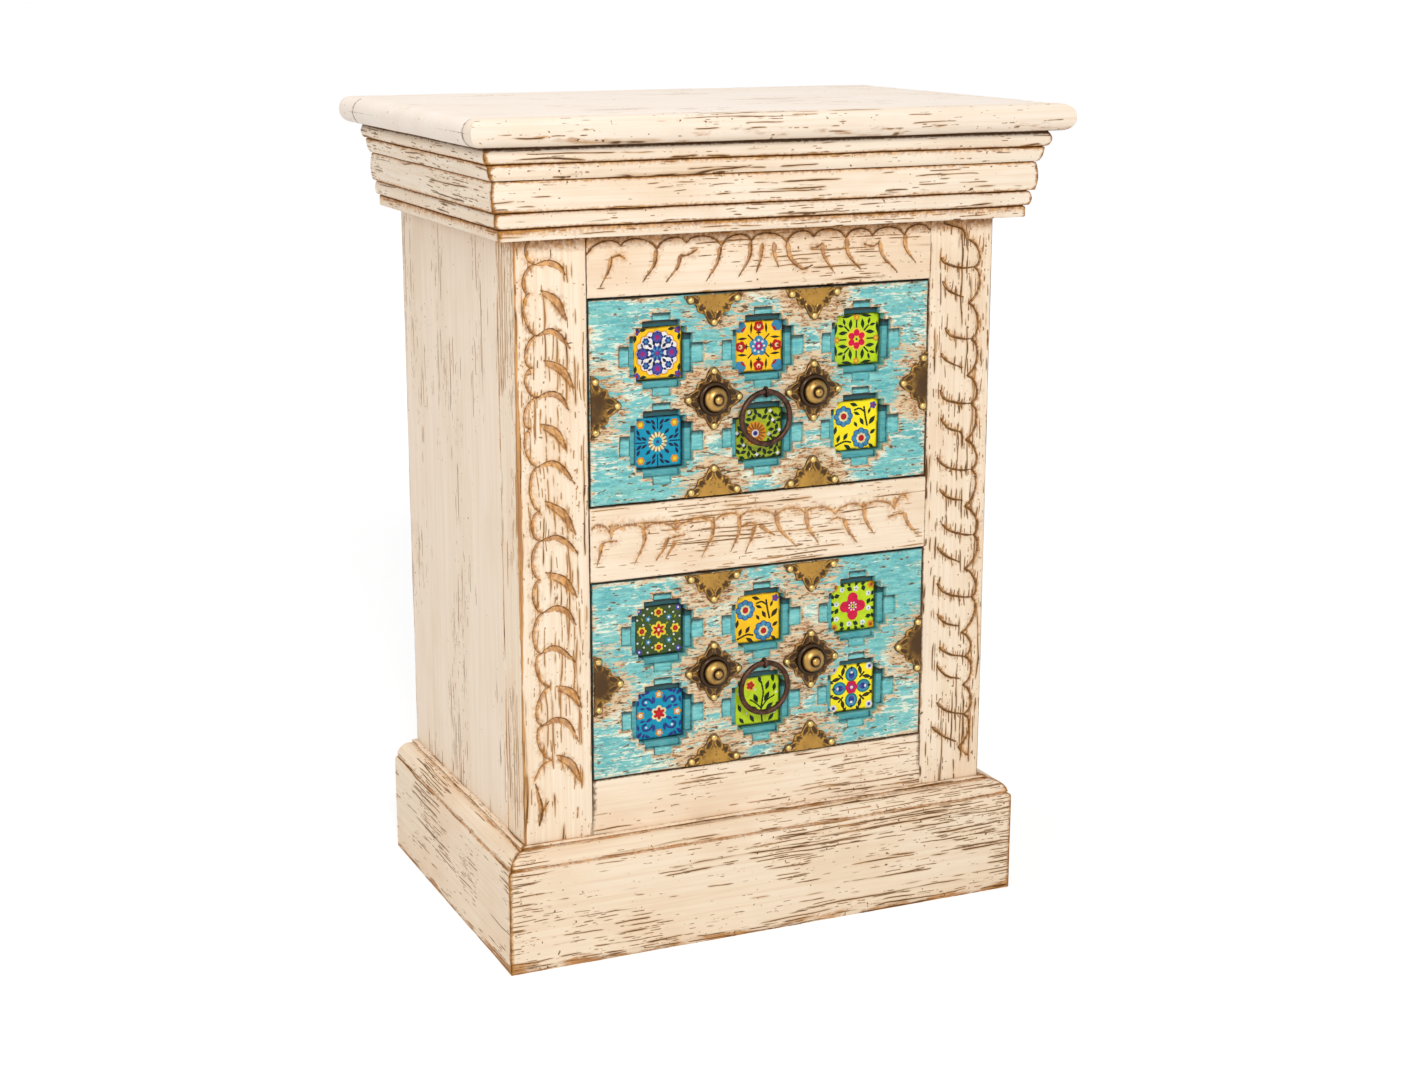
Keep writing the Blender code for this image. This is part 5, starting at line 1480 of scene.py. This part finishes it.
def paint_tile(level, number, ground, strokes):
    """One tile with its enamel flowers: low domes, one over another, that stand on the glazed face."""
    node = f"{level}_tile_{number}"
    low, high = corners(node)
    loops, worn = board_loops(low, high, 1, TILE_ARRIS, margin=2.0, step=3.0)
    tile = close_loops(node + "_glazed", wander(loops, 20.0, 0.12, number), {"worn": worn})
    tile.data.materials.append(ground_finish[ground])
    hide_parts(node)
    middle_x = (low[0] + high[0]) / 2
    middle_z = (low[2] + high[2]) / 2
    tones = sorted({colour for _, colour, _ in strokes})
    reach = TILE_HALF - ENAMEL_MARGIN
    points, faces, tone_of = [], [], []
    for outline, colour, layer in strokes:
        outline = np.clip(outline, -reach, reach)
        count = len(outline)
        centre = outline.mean(axis=0)
        shoulder = centre + 0.86 * (outline - centre)
        height = ENAMEL_LAYER + ENAMEL_LAYER * layer
        foot = len(points)
        wall, brow, tip = foot + count, foot + 2 * count, foot + 3 * count
        for ring, out in ((outline, -0.3), (outline, height - 0.09), (shoulder, height)):
            points += [(middle_x + px, TILE_FACE - out, middle_z + pz) for px, pz in ring]
        points.append((middle_x + centre[0], TILE_FACE - height - 0.05, middle_z + centre[1]))
        for k in range(count):
            after = (k + 1) % count
            faces.append((foot + k, foot + after, wall + after, wall + k))
            faces.append((wall + k, wall + after, brow + after, brow + k))
            faces.append((brow + k, brow + after, tip))
        faces.append(tuple(range(foot, wall)))
        tone_of += [tones.index(colour)] * (3 * count + 1)
    flowers = new_piece(node + "_flowers", points, faces, crease=60)
    for tone in tones:
        flowers.data.materials.append(enamel_finish[tone])
    flowers.data.polygons.foreach_set("material_index", tone_of)
    for piece in (tile, flowers):
        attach(piece, level + "_drawer")


# Each tile's slot, its ground and its flowers, in the order of the CAD nodes.
TILE_PLAN = {
    "upper": [
        ("yellow", "amber", posy()),
        ("amber", "amber", tulips()),
        ("lime", "lime", red_rosette()),
        ("blue", "blue", sun_ring()),
        ("olive", "olive", daisy()),
        ("yellow", "yellow", two_roses("leaf")),
    ],
    "lower": [
        ("green", "green", star_field()),
        ("amber", "amber", two_roses("bark")),
        ("lime", "lime", clover()),
        ("blue", "blue", blue_star()),
        ("lime", "lime", red_on_branch()),
        ("yellow", "yellow", four_hearts()),
    ],
}
for level, plan in TILE_PLAN.items():
    for number, (slot, ground, strokes) in enumerate(plan, 1):
        paint_tile(level, number, ground + "_glaze", strokes)

# Brass plates: thin sheet, sawn with a long lobe under each nail and a short one between, and embossed
# from behind with two leaning loops in each long lobe. Whole plates sit under the bosses and half plates
# along the edges of the drawer fronts, held by round-headed brass nails.
WAIST = 14.2
NAIL_LOBE = 9.3
SHORT_LOBE = 3.4
PLATE_BACK = -121.7
PLATE_FACE = -123.0
HALF_PLATE_INSET = 0.4
LOOP_OUT, LOOP_ASIDE = 15.2, 3.8
LOOP_HALF_LENGTH, LOOP_HALF_WIDTH = 4.8, 2.4
LOOP_LEAN = math.radians(30)
BUD_OUT = 14.4
BUD_HALF_LENGTH, BUD_HALF_WIDTH = 2.4, 1.7
NAIL_REACH = 20.4
EDGE_NAIL_OUT, EDGE_NAIL_ASIDE = 3.4, 18.6
NAIL_RADIUS = 2.7
NAIL_SKIRT = 1.18 * NAIL_RADIUS
NAIL_SEAT = 0.45
NAIL_DOME = 2.0
NAIL_SIDES = 20
NAIL_DARK = (0.9, 1.0, 0.9, 0.8, 0.25, 0.1, 0.0, 0.0, 0.0, 0.0)
SPOT_BROWN = (0.05, 0.03, 0.012, 1)


def aged_brass(name, bright, dark):
    """Brass rubbed bright on the high places, brown in the hollows."""
    finish, tree, shader = new_finish(name, Metallic=1.0, Coat_Weight=0.35, Coat_Roughness=0.14)
    cut = mark_of(tree, "cut")
    smears = mottle(tree, (75, 75, 75), 5, 0.65, 2.0)
    depth = figure(tree, "ADD", figure(tree, "MULTIPLY", cut, 0.7), figure(tree, "MULTIPLY", smears, 0.8))
    colour = coat(tree, fade(tree, depth, 0.34, 0.92), bright, dark)
    spots = fade(tree, mottle(tree, (420, 420, 420), 2, 0.5, 6.0), 0.62, 0.72)
    colour = coat(tree, figure(tree, "MULTIPLY", spots, 0.6), colour, SPOT_BROWN)
    tree.links.new(colour, shader.inputs["Base Color"])
    rough = figure(tree, "ADD", figure(tree, "MULTIPLY", depth, 0.3), 0.24)
    tree.links.new(rough, shader.inputs["Roughness"])
    relief(tree, shader, mottle(tree, (260, 260, 260), 3, 0.55, 9.0), 0.25, 0.0003)
    return finish


plate_brass = aged_brass("embossed brass", (0.43, 0.228, 0.040, 1), (0.070, 0.032, 0.007, 1))
dark_brass = aged_brass("darkened brass", (0.36, 0.185, 0.040, 1), (0.050, 0.023, 0.006, 1))
nail_brass = aged_brass("nail brass", (0.66, 0.45, 0.15, 1), (0.12, 0.065, 0.016, 1))


def plate_rim(angle):
    """Reach of the sawn edge: a long lobe under each nail and a short one between them."""
    return WAIST + NAIL_LOBE * np.cos(2 * angle) ** 4 + SHORT_LOBE * np.sin(2 * angle) ** 6


def emboss(reach, angle):
    """Height of the embossing, and how dark its hollows are, at a place on the plate."""
    turn = (angle + math.pi / 4) % (math.pi / 2) - math.pi / 4
    along, aside = reach * np.cos(turn), np.abs(reach * np.sin(turn))
    share = reach / plate_rim(angle)
    down, over = along - LOOP_OUT, aside - LOOP_ASIDE
    long_way = down * math.cos(LOOP_LEAN) - over * math.sin(LOOP_LEAN)
    cross_way = down * math.sin(LOOP_LEAN) + over * math.cos(LOOP_LEAN)
    oval = np.hypot(long_way / LOOP_HALF_LENGTH, cross_way / LOOP_HALF_WIDTH)
    between = np.pi / 4 - np.abs(turn)
    bud_length = (reach * np.cos(between) - BUD_OUT) / BUD_HALF_LENGTH
    bud = np.hypot(bud_length, reach * np.sin(between) / BUD_HALF_WIDTH)
    loop = 0.80 * np.exp(-((oval - 1.0) / 0.16) ** 2)
    roll = 0.55 * np.exp(-((share - 0.93) / 0.045) ** 2)
    crown = 0.50 * np.exp(-(reach / 12.5) ** 6)
    height = np.maximum(loop, np.maximum(roll, crown))
    round_loop = 0.8 * np.exp(-((oval - 1.42) / 0.20) ** 2) * (reach > 11.5)
    hollow = 0.9 * np.exp(-(oval / 0.80) ** 6) + round_loop
    hollow = np.maximum(hollow, 0.85 * np.exp(-(bud / 0.9) ** 6))
    return height, np.clip(hollow + 0.5 * (share > 0.98), 0, 1)


def stamp_plate(name, middle_x, middle_z, first, last, level, dull):
    """A plate, or the half of one between two angles, as an embossed sheet with a back."""
    whole = last - first > 350
    turns = np.radians(np.linspace(first, last, 96 if whole else 49, endpoint=not whole))
    shares = np.concatenate([np.linspace(0.04, 0.8, 15), [0.84, 0.88, 0.92, 0.96, 1.0]])
    share, turn = np.meshgrid(shares, turns, indexing="ij")
    reach = share * plate_rim(turn)
    height, hollow = emboss(reach, turn)
    x, z = middle_x + reach * np.cos(turn), middle_z + reach * np.sin(turn)
    face = np.stack([x, PLATE_FACE - height, z], axis=-1)
    back = np.stack([x, np.full(x.shape, PLATE_BACK), z], axis=-1)[::-1]
    sheet = np.concatenate([face, back])
    rows, around = sheet.shape[:2]
    spots = np.arange(rows * around).reshape(rows, around)
    if whole:
        faces = strips(spots, np.roll(spots, -1, axis=1))
        faces += [spots[0].tolist(), spots[-1].tolist()]
    else:
        faces = strips(spots[:, :-1], spots[:, 1:])
        for end in (spots[:, 0].tolist(), spots[:, -1].tolist()):
            for k in range(rows // 2 - 1):
                faces.append([end[k], end[k + 1], end[-2 - k], end[-1 - k]])
        faces.append(spots[0].tolist() + spots[-1, ::-1].tolist())
    hollow = np.maximum(hollow, dull * np.exp(-(reach / 15.0) ** 4))
    cut = np.concatenate([hollow, 0 * hollow])
    piece = new_piece(name, sheet.reshape(-1, 3), faces, {"cut": cut}, crease=60)
    piece.data.materials.append(dark_brass if whole else plate_brass)
    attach(piece, level + "_drawer")
    return piece


def lathe(profile, x, seat, z, sides):
    """Loops of a turned shape that stands out from the drawer front at one place."""
    turn = np.linspace(0, 2 * math.pi, sides, endpoint=False)
    loops = [[(x + r * math.cos(a), seat - h, z + r * math.sin(a)) for a in turn] for r, h in profile]
    return np.array(loops)


# A round head on a short skirt; its foot is sunk a little into the plate's rim.
nail_profile = [(0.9, -0.8), (NAIL_SKIRT, -0.8), (NAIL_SKIRT, 0.25), (NAIL_RADIUS, NAIL_SEAT)]
nail_profile.append((NAIL_RADIUS * 0.93, 2 * NAIL_SEAT))
for a in (0.5, 0.8, 1.1, 1.35):
    nail_profile.append((NAIL_RADIUS * math.cos(a), NAIL_SEAT + NAIL_DOME * math.sin(a)))
nail_profile.append((0.05, NAIL_SEAT + NAIL_DOME))


def drive_nails(name, places, level):
    """The nails of one plate, as one piece."""
    points, faces, cut = [], [], []
    for x, z in places:
        loops = lathe(nail_profile, x, PLATE_FACE, z, NAIL_SIDES)
        spots = len(points) + np.arange(len(nail_profile) * NAIL_SIDES).reshape(-1, NAIL_SIDES)
        points += loops.reshape(-1, 3).tolist()
        faces += strips(spots, np.roll(spots, -1, axis=1))
        faces += [spots[0].tolist(), spots[-1].tolist()]
        cut += np.repeat(NAIL_DARK, NAIL_SIDES).tolist()
    piece = new_piece(name, points, faces, {"cut": cut}, crease=55)
    piece.data.materials.append(nail_brass)
    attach(piece, level + "_drawer")


for level, middle_z in DRAWER_LEVELS.items():
    plate_z = middle_z + PLATE_DROP
    for side, x in (("left", -PLATE_X), ("right", PLATE_X)):
        node = f"{level}_plate_{side}"
        plate = stamp_plate(node + "_embossed", x, plate_z, 0, 360, level, 0.8)
        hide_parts(node)
        nails = [(x + NAIL_REACH, plate_z), (x - NAIL_REACH, plate_z)]
        nails += [(x, plate_z + NAIL_REACH), (x, plate_z - NAIL_REACH)]
        drive_nails(node + "_nails", nails, level)
    head = middle_z + FRONT_HALF_HEIGHT - HALF_PLATE_INSET
    foot = middle_z - FRONT_HALF_HEIGHT + HALF_PLATE_INSET
    half_plates = [
        ("top_left", -PLATE_X, head, 180),
        ("top_right", PLATE_X, head, 180),
        ("foot_left", -PLATE_X, foot, 0),
        ("foot_right", PLATE_X, foot, 0),
        ("end_left", -FRONT_HALF + HALF_PLATE_INSET, plate_z, -90),
        ("end_right", FRONT_HALF - HALF_PLATE_INSET, plate_z, 90),
    ]
    for place, x, z, first in half_plates:
        dull = 0.75 if "end" in place else 0.1
        stamp_plate(f"{level}_half_plate_{place}", x, z, first, first + 180, level, dull)
        ahead, aside = math.radians(first + 90), math.radians(first)
        nails = [(x + NAIL_REACH * math.cos(ahead), z + NAIL_REACH * math.sin(ahead))]
        for over in (-EDGE_NAIL_ASIDE, EDGE_NAIL_ASIDE):
            nail_x = x + EDGE_NAIL_OUT * math.cos(ahead) + over * math.cos(aside)
            nail_z = z + EDGE_NAIL_OUT * math.sin(ahead) + over * math.sin(aside)
            nails.append((nail_x, nail_z))
        drive_nails(f"{level}_half_plate_{place}_nails", nails, level)

# Bosses: solid brass, turned on a lathe with a rolled flange, a dome and a button. Each stands on the
# middle of a whole plate and is screwed through it into the drawer front.
BOSS_SEAT = -123.3
BOSS_SIDES = 56
# Radius, height and darkness from the seat up to the button.
BOSS_PROFILE = [
    (11.6, 0.0, 1.0), (12.5, 0.5, 1.0), (12.8, 1.4, 1.0), (12.6, 2.4, 0.95), (11.9, 3.2, 0.9),
    (10.9, 3.6, 0.95), (10.0, 3.2, 1.0), (9.6, 2.7, 1.0), (9.5, 3.4, 0.9), (9.2, 4.6, 0.45),
    (8.5, 5.9, 0.15), (7.4, 7.0, 0.10), (6.0, 7.9, 0.15), (4.7, 8.4, 0.45), (4.0, 8.4, 0.9),
    (3.5, 8.1, 1.0), (3.2, 8.6, 0.6), (3.1, 9.4, 0.1), (2.6, 10.3, 0.0), (1.6, 10.8, 0.0),
    (0.6, 11.0, 0.0),
]
boss_brass = aged_brass("turned brass", (0.46, 0.265, 0.068, 1), (0.045, 0.022, 0.008, 1))
boss_outline = [(r, h) for r, h, d in BOSS_PROFILE]
boss_dark = np.repeat([d for r, h, d in BOSS_PROFILE], BOSS_SIDES)
for level, middle_z in DRAWER_LEVELS.items():
    for side, x in (("left", -PLATE_X), ("right", PLATE_X)):
        node = f"{level}_boss_{side}"
        loops = lathe(boss_outline, x, BOSS_SEAT, middle_z + PLATE_DROP, BOSS_SIDES)
        boss = close_loops(node + "_turned", loops, {"cut": boss_dark}, crease=50)
        boss.data.materials.append(boss_brass)
        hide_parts(node)
        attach(boss, level + "_drawer")

# Ring pulls: an iron rod forged round and welded into a ring, which hangs loose in the eye of a pin. The
# pin is thinner iron, bent into an eye at its end and driven through the drawer front.
RING_REACH = 19.65
RING_WIRE = 2.1
RING_TURNS, RING_SIDES = 112, 18
HAMMER_DENT = 0.035
EYE_REACH = 3.45
EYE_WIRE = 0.95
EYE_TURNS, EYE_SIDES = 40, 14
PIN_RADIUS = 1.3
IRON_DARK = (0.032, 0.015, 0.010, 1)
IRON_PALE = (0.10, 0.050, 0.034, 1)
IRON_RUST = (0.12, 0.045, 0.022, 1)


def forged_iron(name):
    """Brown iron with hammer facets, scale and rubbed places."""
    finish, tree, shader = new_finish(name, Metallic=0.85)
    scale = mottle(tree, (160, 160, 160), 4, 0.6, 1.0)
    rust = fade(tree, mottle(tree, (60, 60, 60), 3, 0.6, 4.0), 0.40, 0.66)
    colour = coat(tree, fade(tree, scale, 0.35, 0.65), IRON_DARK, IRON_PALE)
    colour = coat(tree, figure(tree, "MULTIPLY", rust, 0.5), colour, IRON_RUST)
    tree.links.new(colour, shader.inputs["Base Color"])
    rough = figure(tree, "ADD", figure(tree, "MULTIPLY", scale, 0.3), 0.28)
    tree.links.new(rough, shader.inputs["Roughness"])
    relief(tree, shader, scale, 0.35, 0.0005)
    return finish


iron = forged_iron("forged iron")
for level in DRAWER_LEVELS:
    low, high = corners(level + "_ring")
    hang_y, hang_z = (low[1] + high[1]) / 2, (low[2] + high[2]) / 2
    round_wire = np.linspace(0, 2 * math.pi, RING_SIDES, endpoint=False)
    loops = []
    for a in np.linspace(0, 2 * math.pi, RING_TURNS, endpoint=False):
        dent = noise.noise(Vector((2.3 * math.cos(a), 2.3 * math.sin(a), 7.0)))
        hammered = RING_WIRE * (1 + HAMMER_DENT * dent)
        ring_line = [(RING_REACH + hammered * math.cos(b), hammered * math.sin(b)) for b in round_wire]
        loops.append([(r * math.cos(a), hang_y + out, hang_z + r * math.sin(a)) for r, out in ring_line])
    ring = close_loops(level + "_ring_forged", np.array(loops), ring=True, crease=80)
    ring.data.materials.append(iron)
    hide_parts(level + "_ring")
    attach(ring, level + "_pull")

    low, high = corners(level + "_eye_pin")
    eye_y, eye_z = low[1] + EYE_REACH + EYE_WIRE, (low[2] + high[2]) / 2
    thin_wire = np.linspace(0, 2 * math.pi, EYE_SIDES, endpoint=False)
    eye_line = [(EYE_WIRE * math.sin(b), EYE_REACH + EYE_WIRE * math.cos(b)) for b in thin_wire]
    loops = []
    for a in np.linspace(0, 2 * math.pi, EYE_TURNS, endpoint=False):
        loops.append([(x, eye_y + r * math.cos(a), eye_z + r * math.sin(a)) for x, r in eye_line])
    neck, point = eye_y + EYE_REACH, high[1]
    for r, y in ((1.0, neck - 0.5), (PIN_RADIUS, neck + 0.2), (PIN_RADIUS, point - 1.5), (0.5, point)):
        loops.append([(r * math.cos(b), y, eye_z + r * math.sin(b)) for b in thin_wire])
    spots = np.arange(len(loops) * EYE_SIDES).reshape(-1, EYE_SIDES)
    eye_spots, pin_spots = spots[:EYE_TURNS], spots[EYE_TURNS:]
    eye_spots = np.vstack([eye_spots, eye_spots[:1]])
    faces = strips(eye_spots, np.roll(eye_spots, -1, axis=1))
    faces += strips(pin_spots, np.roll(pin_spots, -1, axis=1))
    faces += [pin_spots[0].tolist(), pin_spots[-1].tolist()]
    pin_piece = new_piece(level + "_eye_pin_forged", np.array(loops).reshape(-1, 3), faces, crease=60)
    pin_piece.data.materials.append(iron)
    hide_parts(level + "_eye_pin")
    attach(pin_piece, level + "_drawer")

# Studio: a plain white floor that keeps the shadow, a white surround that shows in the metal too, and
# three large soft lamps. The camera stands at the photograph's viewing angle. Places are in metres.
FLOOR_REACH = 40.0
FLOOR_CORNERS = [(FLOOR_REACH * x, FLOOR_REACH * y, 0) for x, y in ((-1, -1), (1, -1), (1, 1), (-1, 1))]
CAMERA_PLACE = (-0.7355, -1.6713, 0.727)
CAMERA_PAN, CAMERA_TILT = -24.073, 76.46
CAMERA_LENS = 59.15


def seen_straight(tree):
    """One where the camera, a reflection or a clear material looks at the backdrop, and none elsewhere."""
    rays = step_in(tree, "LightPath", {})
    seen = figure(tree, "MAXIMUM", rays.outputs["Is Camera Ray"], rays.outputs["Is Glossy Ray"])
    return figure(tree, "MAXIMUM", seen, rays.outputs["Is Transmission Ray"])


floor_finish, tree, shader = new_finish("white floor", Roughness=0.9, Specular_IOR_Level=0.1)
shader.inputs["Base Color"].default_value = (0.86, 0.86, 0.86, 1)
seen = seen_straight(tree)
where = step_in(tree, "TexCoord", {}).outputs["Object"]
away = step_in(tree, "VectorMath", {0: where}, operation="LENGTH").outputs["Value"]
share = figure(tree, "ADD", figure(tree, "MULTIPLY", fade(tree, away, 0.5, 3.0), 0.30), 0.42)
glow = step_in(tree, "Emission", {"Color": (1, 1, 1, 1), "Strength": figure(tree, "MULTIPLY", seen, share)})
joined = step_in(tree, "AddShader", {0: shader.outputs[0], 1: glow.outputs[0]})
tree.links.new(joined.outputs[0], tree.nodes["Material Output"].inputs["Surface"])
floor_shape = bpy.data.meshes.new("studio_floor")
floor_shape.from_pydata(FLOOR_CORNERS, [], [(0, 1, 2, 3)])
floor = bpy.data.objects.new("studio_floor", floor_shape)
floor.data.materials.append(floor_finish)
bpy.context.scene.collection.objects.link(floor)

world = bpy.data.worlds.new("white surround")
bpy.context.scene.world = world
world.use_nodes = True
tree = world.node_tree
strength = figure(tree, "ADD", figure(tree, "MULTIPLY", seen_straight(tree), 0.68), 0.32)
tree.links.new(strength, tree.nodes["Background"].inputs["Strength"])
tree.nodes["Background"].inputs["Color"].default_value = (1, 1, 1, 1)


def soft_lamp(name, place, aim, size, power):
    """A square lamp, in metres and watts, turned to what it lights."""
    lamp = bpy.data.lights.new(name, "AREA")
    lamp.shape = "SQUARE"
    lamp.size = size
    lamp.energy = power
    hung = bpy.data.objects.new(name, lamp)
    hung.location = place
    hung.rotation_euler = (Vector(aim) - Vector(place)).to_track_quat("-Z", "Y").to_euler()
    bpy.context.scene.collection.objects.link(hung)


soft_lamp("key lamp", (-0.70, -2.60, 1.70), (0, 0, 0.35), 0.9, 50)
soft_lamp("left lamp", (-2.3, -0.3, 1.4), (0, 0, 0.3), 1.6, 16)
soft_lamp("top lamp", (0.0, 0.2, 2.4), (0, 0, 0.3), 1.8, 15)

camera = bpy.data.cameras.new("camera")
camera.lens = CAMERA_LENS
camera.sensor_width = 36.0
camera.sensor_fit = "HORIZONTAL"
seat = bpy.data.objects.new("camera", camera)
pan = Matrix.Rotation(math.radians(CAMERA_PAN), 4, "Z")
tilt = Matrix.Rotation(math.radians(CAMERA_TILT), 4, "X")
seat.matrix_world = Matrix.Translation(CAMERA_PLACE) @ (pan @ tilt)
bpy.context.scene.collection.objects.link(seat)
bpy.context.scene.camera = seat
bpy.context.scene.view_settings.view_transform = "Standard"
